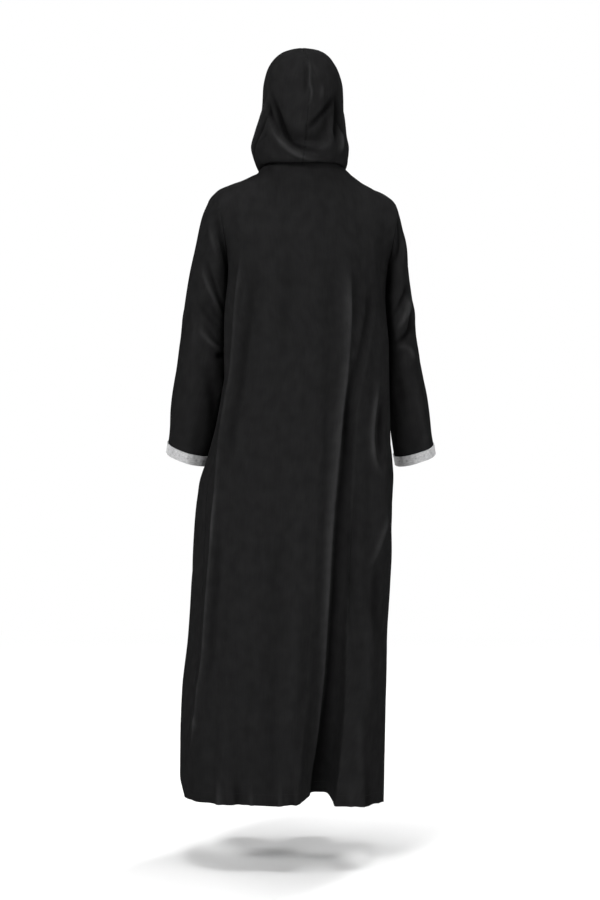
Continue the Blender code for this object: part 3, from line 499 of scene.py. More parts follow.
# The flat cut of each piece: widest and longest, and its area where the cut isn't a rectangle
FLAT_CUTS = {
    "back_panel": ((0.74, 1.45), 0.83),
    "front_panel": ((0.72, 1.40), 0.83),
    "sleeve_left": ((0.38, 0.62), 0.195),
    "sleeve_right": ((0.36, 0.60), 0.177),
    "cuff_left": ((0.33, 0.024), None),
    "cuff_right": ((0.32, 0.024), None),
    "hood_left": ((0.30, 0.40), 0.093),
    "hood_right": ((0.30, 0.40), 0.093),
}

# The names of the mesh's flat chart, and of its painted-light value: 1 for the full painted highlight on
# crests and -1 for the full painted shade in valleys
CHART = "cloth"
PAINTED_LIGHT_NAME = "painted_fold_light"
# The fold height for the full painted highlight or painted shade, and the half width from which a fold's
# painted light counts for less
FULL_PAINTED_LIGHT_HEIGHT = 0.0060
CRISP_WIDTH = 0.009
# How many times as pale the cloth is painted on a full crest (painted highlight) and in a full valley
# (painted shade), and how fast it pales
CREST_PAINTED_HIGHLIGHT = 2.2
VALLEY_PAINTED_SHADE = 0.35
PAINTED_HIGHLIGHT_SHARPNESS = 1.9

WHITE = (1.0, 1.0, 1.0, 1.0)
CLOTH_DARK = (0.0102, 0.0102, 0.0104, 1.0)
CLOTH_LIGHT = (0.0136, 0.0136, 0.0138, 1.0)
THREAD = (0.016, 0.016, 0.0165, 1.0)
# Cells of each noise to the metre across and up the cloth, and its detail
STREAKS = (330, 24, 3)
CLOUDS = (46, 34, 4)
YARNS = (900, 260, 2)
# The part of the mottling that is streaks, and the values that become fully dark and fully light
STREAK_SHARE = 0.35
MOTTLING_RANGE = (0.36, 0.64)
# The streaks' values at which the cloth is smoothest and roughest, and how rough it is there
ROUGHNESS_RANGE = (0.3, 0.7)
CLOTH_ROUGHNESS = (0.46, 0.60)
CLOTH_SPECULAR = 0.0
# Crests of the twill to the metre across and up, and its part in the weave
TWILL = (960, 1280)
TWILL_SHARE = 0.3
# Strength and height of the bumps that stand for yarns and thread
CLOTH_BUMP = (0.35, 0.00012)
STITCH_LENGTH = 0.0030
STITCH_WIDTH = 0.0009
# Thread shows where a wave along the row is above this, and stands this much above the weave
STITCH_GAP = -0.5
STITCH_RISE = 2.0
# How far the rows of stitches lie above the hem, and above the sleeves' ends
HEM_STITCHES = (0.024,)
SLEEVE_STITCHES = (0.0275, 0.0315)

BAND_DARK = (0.30, 0.30, 0.305, 1.0)
BAND_LIGHT = (0.60, 0.60, 0.605, 1.0)
BAND_MARK = (0.12, 0.12, 0.125, 1.0)
# Widths of a rib, of a tick across the ribs, of the plain edges, and of a lozenge
BAND_RIB = 0.0022
BAND_TICK = 0.0030
BAND_EDGE = 0.0035
BAND_LOZENGE = 0.021
RIB_SHARE = 0.6
BAND_CLOUDS = (150, 420, 2)
BAND_CLOUD_RANGE = (0.35, 0.65)
# The sum of weave and clouds at which the band is fully light; at minus this it is fully dark
BAND_CONTRAST = 1.6
LOZENGE_SIZE = 0.5
MARK_STRENGTH = 0.35
BAND_ROUGHNESS = (0.38, 0.6)
BAND_SPECULAR = 0.5
BAND_SHEEN = 0.1
BAND_BUMP = (0.5, 0.0003)

FLOOR_HEIGHT = -1.521
FLOOR_HALF_WIDTH = 100.0
FLOOR_TONES = (0.86, 0.88)
FLOOR_CELLS = 3.0
FLOOR_ROUGHNESS = 0.8
FLOOR_SPECULAR = 0.1
# Distances from below the garment between which the floor fades to white
FLOOR_FADE = (0.9, 5.0)
BACKDROP_RADIUS = 60.0
WORLD_HORIZON = 0.08
WORLD_OVERHEAD = 0.12
CAMERA_PLACE = (0.0045, 4.016, -0.618)
CAMERA_TURN = (math.pi / 2, 0.0, math.pi)
CAMERA_SENSOR = 36
CAMERA_LENS = 71.72
# name, place, target, width in metres, power in watts
LIGHTS = (
    ("back_key", (2.3, 3.8, 2.2), (0.0, 0.0, -0.2), 1.6, 170),
    ("back_fill", (-2.6, 4.0, 0.8), (0.0, 0.0, -0.4), 2.2, 75),
    ("front_key", (-2.3, -3.8, 2.2), (0.0, 0.0, -0.2), 1.6, 170),
    ("front_fill", (2.6, -4.0, 0.8), (0.0, 0.0, -0.4), 2.2, 75),
    ("overhead", (0.0, 0.0, 6.0), (0.0, 0.0, 0.0), 3.0, 330),
)


def smooth_table(table, places):
    """The other columns of a table read at some places of its first, on curves that don't overshoot."""
    rows = np.array(table, float)
    rows = rows[np.argsort(rows[:, 0])]
    known = rows[:, 0]
    values = rows[:, 1:]
    steps = np.diff(known)[:, None]
    slopes = np.diff(values, axis=0) / steps
    tangents = np.empty_like(values)
    tangents[0] = slopes[0]
    tangents[-1] = slopes[-1]
    before, after = slopes[:-1], slopes[1:]
    total = np.where(before + after == 0, 1.0, before + after)
    tangents[1:-1] = np.where(before * after > 0, 2 * before * after / total, 0.0)
    places = np.atleast_1d(np.asarray(places, float))
    low = np.clip(np.searchsorted(known, places, side="right") - 1, 0, len(known) - 2)
    step = steps[low]
    share = (places[:, None] - known[low][:, None]) / step
    return (
        (1 + 2 * share) * (1 - share) ** 2 * values[low]
        + share * (1 - share) ** 2 * step * tangents[low]
        + share**2 * (3 - 2 * share) * values[low + 1]
        + share**2 * (share - 1) * step * tangents[low + 1]
    )


def signed_power(value, power):
    return np.sign(value) * np.abs(value) ** power


def ramp(value):
    """0 below 0, 1 above 1, and smooth between."""
    share = np.clip(value, 0, 1)
    return share * share * (3 - 2 * share)


def swell(offset, width, sharpness=2.0):
    """1 at no offset, falling smoothly to 0 at one width."""
    return np.clip(1 - np.abs(offset / width) ** sharpness, 0, 1) ** 2


def lengths_along(points):
    steps = np.linalg.norm(np.diff(points, axis=0), axis=1)
    return np.concatenate([[0], np.cumsum(steps)])


def outline_angle(place, face, middle, half_width):
    """The angle at which the back or the front of a section passes a place across."""
    share = np.clip((place - middle) / half_width, -1, 1)
    angle = math.degrees(math.acos(signed_power(share, SECTION_ROUNDNESS / 2)))
    return angle if face == BACK else 360 - angle


def body_outline(height):
    """Angles and points round the body near a height, and the angle of the main fold."""
    left, right, back, front, turn = smooth_table(BODY_SECTIONS, height)[0]
    middle = (left + right) / 2
    half_width = (left - right) / 2
    angles = np.linspace(0, 360, OUTLINE_STEPS + 1)
    cosine = np.cos(np.radians(angles))
    sine = np.sin(np.radians(angles))
    across = half_width * signed_power(cosine, 2 / SECTION_ROUNDNESS)
    depth = np.where(sine > 0, back, front) * signed_power(sine, 2 / SECTION_ROUNDNESS)
    plan = np.column_stack([middle + across, depth + turn * across])
    along = lengths_along(plan)
    heading = np.gradient(plan, axis=0)
    outward = np.column_stack([heading[:, 1], -heading[:, 0]])
    outward /= np.linalg.norm(outward, axis=1)[:, None]

    def offset_from(angle):
        offset = along - np.interp(angle, angles, along)
        return (offset + along[-1] / 2) % along[-1] - along[-1] / 2

    rise = np.zeros(len(angles))
    share = (height - ARMPIT_HEIGHT) / (HEM_HEIGHT - ARMPIT_HEIGHT)
    for face, top_place, hem_place, begins, full, fades, gone, width, out in SOFT_FOLDS:
        place = top_place + (hem_place - top_place) * share
        grown = ramp((height - begins) / (full - begins)) * (1 - ramp((height - fades) / (gone - fades)))
        rise += out * grown * swell(offset_from(outline_angle(place, face, middle, half_width)), width)
    plan += rise[:, None] * outward

    place, deep, left_width, right_width = smooth_table(MAIN_FOLD, height)[0]
    fold_angle = outline_angle(place, BACK, middle, half_width)
    offset = offset_from(fold_angle)
    left_wall = swell(offset, left_width, LEFT_WALL_SHARPNESS)
    right_wall = swell(offset, right_width, RIGHT_WALL_SHARPNESS)
    fold = np.where(offset < 0, left_wall, right_wall)
    plan[:, 1] -= deep * fold
    near_hem = ramp((HEM_HEIGHT + HEM_LINE_REACH - height) / HEM_LINE_REACH)
    heights = height + near_hem * (smooth_table(HEM_LINE, angles)[:, 0] + FOLD_LIFT * fold)
    return angles, np.column_stack([plan, heights]), fold_angle


def columns_angle(angles, outline, fold_angle, seams, height):
    """The angle between the back's left and right columns: the main fold's, or higher up an even share."""
    along = lengths_along(outline)
    left, right, fold = (np.interp(angle, angles, along) for angle in (*seams, fold_angle))
    even = left + (right - left) * BACK_LEFT_COLUMNS / BACK_COLUMNS
    evenness = ramp((height - EVEN_COLUMNS_BELOW) / (EVEN_COLUMNS_ABOVE - EVEN_COLUMNS_BELOW))
    return np.interp(fold + (even - fold) * evenness, along, angles)


def spread(angles, outline, start, end, count):
    """Points at equal distances along an outline from one angle to another, without the last."""
    fine = np.linspace(start, end, OUTLINE_STEPS // 2)
    stretch = np.column_stack([np.interp(fine % 360, angles, values) for values in outline.T])
    along = lengths_along(stretch)
    stops = np.linspace(0, along[-1], count + 1)[:-1]
    return np.column_stack([np.interp(stops, along, values) for values in stretch.T])


def body_ring(height):
    """A ring of points from the left side seam over the back, the right side and the front."""
    angles, outline, fold_angle = body_outline(height)
    left_seam, right_seam = smooth_table(SIDE_SEAMS, height)[0]
    middle_back = columns_angle(angles, outline, fold_angle, (left_seam, right_seam), height)
    middle_front = 270
    return np.concatenate([
        spread(angles, outline, left_seam, middle_back, BACK_LEFT_COLUMNS),
        spread(angles, outline, middle_back, right_seam, BACK_RIGHT_COLUMNS),
        spread(angles, outline, right_seam, middle_front, FRONT_HALF_COLUMNS),
        spread(angles, outline, middle_front, left_seam + 360, FRONT_HALF_COLUMNS),
    ])


def shoulder_line(table, side):
    """Points from the top of an armhole to the neck, both included."""
    outermost, innermost = table[-1][0], table[0][0]
    across = np.linspace(outermost, innermost, SHOULDER_COLUMNS + 1)
    heights = smooth_table(table, across)[:, 0]
    return np.column_stack([side * across, SHOULDER_TURN * side * (across - innermost), heights])


def back_neckline():
    """Points round the back of the neck from left to right, both ends included."""
    angle = np.linspace(0, math.pi, BACK_NECK_COLUMNS + 1)
    return np.column_stack([
        NECK_HALF_WIDTH * np.cos(angle),
        NECK_BACK_DEPTH * np.sin(angle),
        NECK_SIDE_HEIGHT + NECK_RISE * np.sin(angle),
    ])


def front_neckline_half():
    """Points from the side of the neck to the foot of the V at the throat, on the left."""
    count = FRONT_NECK_COLUMNS // 2
    share = np.arange(count) / (count - 1)
    inward, forward, downward = (share**bend for bend in NECKLINE_BENDS)
    across = NECK_HALF_WIDTH + (THROAT_SLIT_HALF_WIDTH - NECK_HALF_WIDTH) * inward
    depth = -THROAT_DEPTH * forward
    height = NECK_SIDE_HEIGHT + (THROAT_HEIGHT - NECK_SIDE_HEIGHT) * downward
    half = np.column_stack([across, depth, height])
    return np.vstack([half, [0, -THROAT_DEPTH, THROAT_HEIGHT]])


def back_top_line():
    left = shoulder_line(LEFT_SHOULDER, 1)
    right = shoulder_line(RIGHT_SHOULDER, -1)[::-1]
    return np.vstack([left[:-1], back_neckline(), right[1:]])


def front_top_line():
    """From the top of the right armhole over the throat to the top of the left armhole."""
    left = shoulder_line(LEFT_SHOULDER, 1)
    right = shoulder_line(RIGHT_SHOULDER, -1)
    half = front_neckline_half()
    mirrored = half * [-1, 1, 1]
    return np.vstack([right[:-1], mirrored[:-1], half[::-1], left[::-1][1:]])


def eased_line(line, share):
    """A line whose corners are rounded over a share of its length, to each side of them."""
    reach = round(share * len(line))
    padded = np.pad(line, ((reach, reach), (0, 0)), "reflect", reflect_type="odd")
    window = np.hanning(2 * reach + 3)[1:-1]
    return np.column_stack([np.convolve(values, window / window.sum(), "valid") for values in padded.T])


def yoke(base, top, face):
    """Rows from the armpits up to the shoulder line, rounding over, with the armholes' edges."""
    share = np.linspace(0, 1, len(base))
    near_neck = ramp(np.minimum(share, 1 - share) / YOKE_NECK_FADE)
    roundness = YOKE_SHOULDER_ROUNDNESS + (YOKE_NECK_ROUNDNESS[face] - YOKE_SHOULDER_ROUNDNESS) * near_neck
    eased = eased_line(top, YOKE_EASING)
    rows = []
    for row in range(YOKE_ROWS + 1):
        way_up = row / YOKE_ROWS
        near_top = ramp((way_up - YOKE_EASED_BELOW) / (1 - YOKE_EASED_BELOW))
        goal = eased + (top - eased) * near_top
        climbed = math.sin(math.pi / 2 * way_up) ** (2 / roundness)
        still_out = max(0.0, math.cos(math.pi / 2 * way_up)) ** (2 / roundness)
        points = np.empty_like(base)
        points[:, 0] = base[:, 0] + (goal[:, 0] - base[:, 0]) * way_up
        points[:, 1] = goal[:, 1] + (base[:, 1] - goal[:, 1]) * still_out
        points[:, 2] = base[:, 2] + (goal[:, 2] - base[:, 2]) * climbed
        open_share = math.sin(math.pi * way_up) ** ARMHOLE_FULLNESS
        for side, edge_face, out, deep in ARMHOLES:
            if edge_face != face:
                continue
            from_edge = share if (side == face) else 1 - share
            near = open_share * np.clip(1 - from_edge / ARMHOLE_REACH, 0, 1) ** 2
            points[:, 0] += side * out * near
            points[:, 1] += face * deep * near
        rows.append(points)
    return rows


def sleeve_ring(table, way_down):
    """A ring round the arm, from its outer edge by the back, the inner edge and the front."""
    out_x, out_z, in_x, in_z, middle, half_depth = smooth_table(table, way_down)[0]
    angle = np.linspace(0, 2 * math.pi, SLEEVE_COLUMNS, endpoint=False)
    outward = signed_power(np.cos(angle), 2 / SLEEVE_ROUNDNESS)
    backward = signed_power(np.sin(angle), 2 / SLEEVE_ROUNDNESS)
    return np.column_stack([
        (out_x + in_x) / 2 + (out_x - in_x) / 2 * outward,
        middle + half_depth * backward,
        (out_z + in_z) / 2 + (out_z - in_z) / 2 * outward - SLEEVE_BACK_DROP * backward * way_down,
    ])


def sleeve_shares(table):
    """Shares of the length at which rings lie, the last few at the band's edges."""
    length = math.dist(table[0][1:3], table[-1][1:3])
    band_top = 1 - BAND_HEIGHT / length
    arm = np.linspace(0, band_top, SLEEVE_ROWS - BAND_ROWS + 1)
    band = np.linspace(band_top, 1, BAND_ROWS + 1)
    return np.concatenate([arm, band[1:]])


def sleeve_rows(table, armhole):
    """The rings below the armhole, which bend to its edge at their upper end."""
    misfit = armhole - sleeve_ring(table, 0)
    rows = []
    for way_down in sleeve_shares(table)[1:]:
        rows.append(sleeve_ring(table, way_down) + misfit * (1 - ramp(way_down / ARMHOLE_BLEND)))
    return rows


def hood_row(way_up, side):
    """Half a section of the hood, from the seam at the back round the side to the face's edge."""
    section = smooth_table(HOOD_SECTIONS, way_up)[0]
    wide = side * (section[0] if side == 1 else section[1])
    seam_x, side_y, side_z, back_y, back_z, edge_x, edge_y, edge_z = section[2:]
    round_back = np.linspace(math.pi / 2, 0, BACK_NECK_COLUMNS // 2 + 1)
    backward = np.sin(round_back) ** (2 / HOOD_BACK_ROUNDNESS)
    sideways = np.maximum(0, np.cos(round_back)) ** (2 / HOOD_BACK_ROUNDNESS)
    behind = np.column_stack([
        seam_x + (wide - seam_x) * sideways,
        side_y + (back_y - side_y) * backward,
        side_z + (back_z - side_z) * backward**2,
    ])
    round_front = np.linspace(0, math.pi / 2, FRONT_NECK_COLUMNS // 2)[1:]
    ahead = np.column_stack([
        side * edge_x + (wide - side * edge_x) * np.cos(round_front),
        side_y + (edge_y - side_y) * np.sin(round_front),
        side_z + (edge_z - side_z) * (1 - np.cos(round_front)),
    ])
    behind[0, 0] = seam_x
    return np.vstack([behind, ahead])


class Form:
    """Points shared by every piece, and the grids of their numbers."""

    def __init__(self):
        self.points = []

    def add(self, points):
        first = len(self.points)
        self.points.extend(np.asarray(points, float))
        return list(range(first, len(self.points)))

    def at(self, numbers):
        return np.array([self.points[number] for number in numbers])


def build_form():
    """The whole garment as grids of point numbers, one grid for each piece."""
    form = Form()
    heights = np.linspace(HEM_HEIGHT, ARMPIT_HEIGHT, BODY_ROWS + 1)
    body = [form.add(body_ring(height)) for height in heights]
    back = [ring[: BACK_COLUMNS + 1] for ring in body]
    front = [ring[BACK_COLUMNS:] + ring[:1] for ring in body]

    back_rows = yoke(form.at(back[-1]), back_top_line(), BACK)[1:]
    back += [form.add(row) for row in back_rows]
    top = back[-1]
    front_rows = yoke(form.at(front[-1]), front_top_line(), FRONT)[1:]
    front += [form.add(row) for row in front_rows[:-1]]
    right_shoulder = top[: -SHOULDER_COLUMNS - 2 : -1]
    left_shoulder = top[SHOULDER_COLUMNS::-1]
    between = form.add(front_rows[-1][SHOULDER_COLUMNS + 1 : -SHOULDER_COLUMNS - 1])
    front.append(right_shoulder + between + left_shoulder)

    grids = {"back_panel": back, "front_panel": front}
    back_yoke = back[BODY_ROWS:]
    front_yoke = front[BODY_ROWS:]
    left_hole = [row[0] for row in back_yoke[::-1]] + [row[-1] for row in front_yoke[1:-1]]
    right_hole = [row[-1] for row in back_yoke[::-1]] + [row[0] for row in front_yoke[1:-1]]
    for name, table, hole in (
        ("sleeve_left", LEFT_SLEEVE, left_hole),
        ("sleeve_right", RIGHT_SLEEVE, right_hole),
    ):
        rings = [hole] + [form.add(row) for row in sleeve_rows(table, form.at(hole))]
        grids[name] = [ring + ring[:1] for ring in rings]

    grids.update(hood_grids(form, back[-1], front[-1]))
    return form, grids


def hood_grids(form, back_top, front_top):
    """Both halves of the hood, from the neckline up, sharing the seam down the middle."""
    centre = len(back_top) // 2
    throat = len(front_top) // 2
    reach = FRONT_NECK_COLUMNS // 2
    necks = {
        1: back_top[centre : SHOULDER_COLUMNS - 1 : -1] + front_top[throat + reach - 1 : throat : -1],
        -1: back_top[centre : len(back_top) - SHOULDER_COLUMNS] + front_top[throat - reach + 1 : throat],
    }
    rows = {side: [neck] for side, neck in necks.items()}
    seam = None
    for row in range(1, HOOD_ROWS + 1):
        way_up = row / HOOD_ROWS
        for side in (1, -1):
            misfit = form.at(necks[side]) - hood_row(0, side)
            points = hood_row(way_up, side) + misfit * (1 - way_up) ** HOOD_NECK_FADE
            if side == 1:
                numbers = form.add(points)
                seam = numbers
            elif row == HOOD_ROWS:
                numbers = seam
            else:
                numbers = seam[:1] + form.add(points[1:])
            rows[side].append(numbers)
    return {"hood_left": rows[1], "hood_right": rows[-1]}


def moved_in(layer, closed_ring):
    """A layer of points whose outer rows and columns are drawn in by half a seam gap."""
    moved = layer.copy()
    sides = [(0, 1), (-1, -2)]
    if not closed_ring:
        every_row = slice(None)
        sides += [((every_row, 0), (every_row, 1)), ((every_row, -1), (every_row, -2))]
    for edge, inner in sides:
        line = layer[edge]
        inward = layer[inner] - line
        tangent = np.gradient(line, axis=0)
        tangent /= np.linalg.norm(tangent, axis=1)[:, None]
        inward -= tangent * np.sum(inward * tangent, axis=1)[:, None]
        inward /= np.linalg.norm(inward, axis=1)[:, None]
        moved[edge] += inward * SEAM_GAP / 2
    return moved


def form_normals(points, grids):
    """Outward normals of the form's points, averaged over all pieces that meet there."""
    normals = np.zeros_like(points)
    for name, grid in grids.items():
        numbers = np.array(grid)
        corners = points[numbers]
        across = corners[1:, 1:] - corners[:-1, :-1]
        other = corners[:-1, 1:] - corners[1:, :-1]
        faces = np.cross(across, other) * FACING[name]
        later, earlier = slice(1, None), slice(None, -1)
        for corner in ((later, later), (later, earlier), (earlier, later), (earlier, earlier)):
            np.add.at(normals, numbers[corner], faces)
    lengths = np.linalg.norm(normals, axis=1)[:, None]
    return normals / np.where(lengths == 0, 1.0, lengths)


def fold_path(places):
    """A smooth curve through the places of a fold."""
    known = np.array(places, float)
    padded = np.vstack([2 * known[0] - known[1], known, 2 * known[-1] - known[-2]])
    share = np.linspace(0, 1, FOLD_STEPS, endpoint=False)[:, None]
    stretches = []
    for a, b, c, d in zip(padded, padded[1:], padded[2:], padded[3:]):
        bend = 2 * b + (c - a) * share + (2 * a - 5 * b + 4 * c - d) * share**2
        stretches.append((bend + (3 * b - a - 3 * c + d) * share**3) / 2)
    return np.vstack([*stretches, known[-1:]])


def fold_share(path, chart, right_width, left_width, sharpness):
    """1 for places of a chart on the crest of a fold, falling to 0 at its sides and ends."""
    along = lengths_along(path)
    start = path[:-1]
    step = np.diff(path, axis=0)
    lengths = np.linalg.norm(step, axis=1)
    offset = chart[:, None] - start[None]
    share = np.clip(np.sum(offset * step, axis=2) / lengths**2, 0, 1)
    offset -= share[..., None] * step
    apart = np.linalg.norm(offset, axis=2)
    near = apart.argmin(axis=1)
    each = np.arange(len(chart))
    turn = step[near, 0] * offset[each, near, 1] - step[near, 1] * offset[each, near, 0]
    width = np.where(turn > 0, left_width, right_width)
    place = along[near] + share[each, near] * lengths[near]
    end = min(FOLD_END_SHARE * along[-1], FOLD_END_LENGTH)
    fade = ramp(place / end) * ramp((along[-1] - place) / end)
    return swell(apart[each, near], width, sharpness) * fade


def seam_hold(count, grids):
    """0 for points on the seams of the armholes, the shoulders and the neck, rising to 1 beside them."""
    hold = np.ones(count)
    for name, grid in grids.items():
        numbers = np.array(grid)
        for place in range(SEAM_HOLD_LINES):
            share = ramp(place / SEAM_HOLD_LINES)
            if name.endswith("panel"):
                lines = [numbers[BODY_ROWS:, place], numbers[BODY_ROWS:, -1 - place], numbers[-1 - place]]
            else:
                lines = [numbers[place]]
            for line in lines:
                hold[line] = np.minimum(hold[line], share)
    return hold


def eased_at_armpits(points, grids):
    """The form's points, eased up and down where the yoke meets the body."""
    for name in ("back_panel", "front_panel"):
        numbers = np.array(grids[name])[BODY_ROWS - JOIN_ROWS : BODY_ROWS + JOIN_ROWS + 1]
        layer = points[numbers]
        rows, columns = numbers.shape
        from_end = np.minimum(np.arange(rows), np.arange(rows)[::-1]) / JOIN_ROWS
        from_side = np.minimum(np.arange(columns), np.arange(columns)[::-1]) / JOIN_ROWS
        share = (ramp(from_end)[:, None] * ramp(from_side)[None])[1:-1, :, None]
        for _ in range(JOIN_STEPS):
            layer[1:-1] += share * ((layer[2:] + layer[:-2]) / 2 - layer[1:-1]) / 2
        points[numbers] = layer
    return points


def smoothed(values, grids):
    """Values of the points, each averaged a little with those beside it on its piece."""
    for grid in grids.values():
        numbers = np.array(grid)
        for _ in range(SMOOTHING_STEPS):
            layer = values[numbers]
            beside = (layer[:, 2:] + layer[:, :-2] + 2 * layer[:, 1:-1]) / 4
            beside = (beside[2:] + beside[:-2] + 2 * beside[1:-1]) / 4
            values[numbers[1:-1, 1:-1]] = beside
    return values


def fold_heights(points, normals, grids):
    """How far the folds move each point outwards, and how much painted highlight (crest) or painted shade
    (valley) it gets.
    """
    upright = np.clip(1 + UNDERSIDE * normals[:, 2], 0, 1)
    out = np.zeros(len(points))
    painted_fold_light = np.zeros(len(points))
    for kind, side, folds in FOLDS:
        across_axis, facing_axis, sign = SIDES[side]
        chart = points[:, (across_axis, 2)]
        facing = np.clip(normals[:, facing_axis] * sign * FOLD_FACING, 0, 1)
        seen = np.zeros(len(points), bool)
        for name, grid in grids.items():
            if kind in name:
                seen[np.array(grid)] = True
        seen &= facing > 0
        for fold in folds:
            right_width, left_width, height = (MILLIMETRE * size for size in fold[:3])
            sharpness = fold[3]
            path = fold_path(MILLIMETRE * np.reshape(fold[4:], (-1, 2)))
            reach = max(right_width, left_width)
            inside = (chart > path.min(axis=0) - reach) & (chart < path.max(axis=0) + reach)
            member = seen & np.all(inside, axis=1)
            share = fold_share(path, chart[member], right_width, left_width, sharpness)
            out[member] += height * share * facing[member] * upright[member]
            # Painted light: crests get a painted highlight and valleys painted shade, weaker for wide folds.
            crispness = min(1.0, CRISP_WIDTH / min(right_width, left_width))
            painted_fold_light[member] += height * crispness * share * facing[member]
    return smoothed(out, grids), smoothed(painted_fold_light, grids)


def folded(points, normals, grids):
    """The points, moved by the folds, the cloth's unevenness and the sleeves' lift, and their painted
    highlight and shade.
    """
    hold = seam_hold(len(points), grids)
    out, painted_fold_light = fold_heights(points, normals, grids)
    round_about = points[:, 0] + ROUND_ABOUT * points[:, 1]
    waves = np.zeros(len(points))
    for across_length, along_length, height, start in UNEVENNESS:
        sway = np.sin(2 * math.pi * points[:, 2] / along_length + 2 * start)
        waves += height * np.sin(2 * math.pi * round_about / across_length + start + sway)
    moved = points + normals * ((out + waves) * hold)[:, None]
    low = 1 - ramp((points[:, 2] - HEM_HEIGHT) / HEM_SWAY_REACH)
    for across_length, height, start in HEM_SWAYS:
        moved[:, 2] += low * height * np.sin(2 * math.pi * round_about / across_length + start)
    for name in ("sleeve_left", "sleeve_right"):
        numbers = np.unique(np.array(grids[name]))
        lowness = ramp((SLEEVE_LIFT_TOP - moved[numbers, 2]) / SLEEVE_LIFT_REACH)
        moved[numbers, 2] += SLEEVE_LIFT * lowness
    return moved, np.clip(painted_fold_light * hold / FULL_PAINTED_LIGHT_HEIGHT, -1, 1)


def seam_dip(layer, edges):
    """How far each place of a layer lies below the cloth, beside the edges that are sewn."""
    dip = np.zeros(layer.shape[:2])
    for axis, step in edges:
        line = layer.swapaxes(0, axis)[::step]
        steps = np.linalg.norm(np.diff(line, axis=0), axis=2)
        apart = np.vstack([np.zeros((1, steps.shape[1])), np.cumsum(steps, axis=0)])
        depth = np.clip(1 - apart / SEAM_DIP_REACH, 0, 1) ** 2
        dip = np.maximum(dip, depth[::step].swapaxes(0, axis))
    return SEAM_DIP * dip


def flat_chart(layer, painted_fold_light):
    """Each place's flat place in metres, across from the middle column and up, and its painted highlight or
    shade.
    """
    across = np.zeros(layer.shape[:2])
    across[:, 1:] = np.cumsum(np.linalg.norm(np.diff(layer, axis=1), axis=2), axis=1)
    middle = layer.shape[1] // 2
    across -= across[:, middle : middle + 1].copy()
    up = np.zeros(layer.shape[:2])
    up[1:] = np.cumsum(np.linalg.norm(np.diff(layer, axis=0), axis=2), axis=0)
    return np.stack([across, up, painted_fold_light], axis=2)


def every_second(count):
    """Every second place of a line, with its last."""
    places = np.arange(0, count, 2)
    return places if places[-1] == count - 1 else np.append(places, count - 1)


def grid_quads(numbers, layer):
    """Faces of a grid, each from an end of its shorter diagonal, along which it is cut in two."""
    corners = (numbers[:-1, :-1], numbers[:-1, 1:], numbers[1:, 1:], numbers[1:, :-1])
    quads = np.stack(corners, axis=-1).reshape(-1, 4)
    falling = np.linalg.norm(layer[1:, 1:] - layer[:-1, :-1], axis=-1).ravel()
    rising = np.linalg.norm(layer[1:, :-1] - layer[:-1, 1:], axis=-1).ravel()
    turned = rising < falling
    quads[turned] = np.roll(quads[turned], -1, axis=1)
    return quads.tolist()


def turned_over(faces):
    """The faces seen from their other side, each still from its first corner."""
    return [face[:1] + face[:0:-1] for face in faces]


def strip_faces(full, sparse, kept):
    """Faces between a line of points and one that has only its kept places."""
    faces = []
    for place, (start, end) in enumerate(zip(kept, kept[1:])):
        low, high = sparse[place], sparse[place + 1]
        if end - start == 1:
            faces.append([full[end], full[start], low, high])
        else:
            middle = start + 1
            faces.append([full[middle], full[start], low])
            faces.append([full[middle], low, high])
            faces.append([full[end], full[middle], high])
    return faces


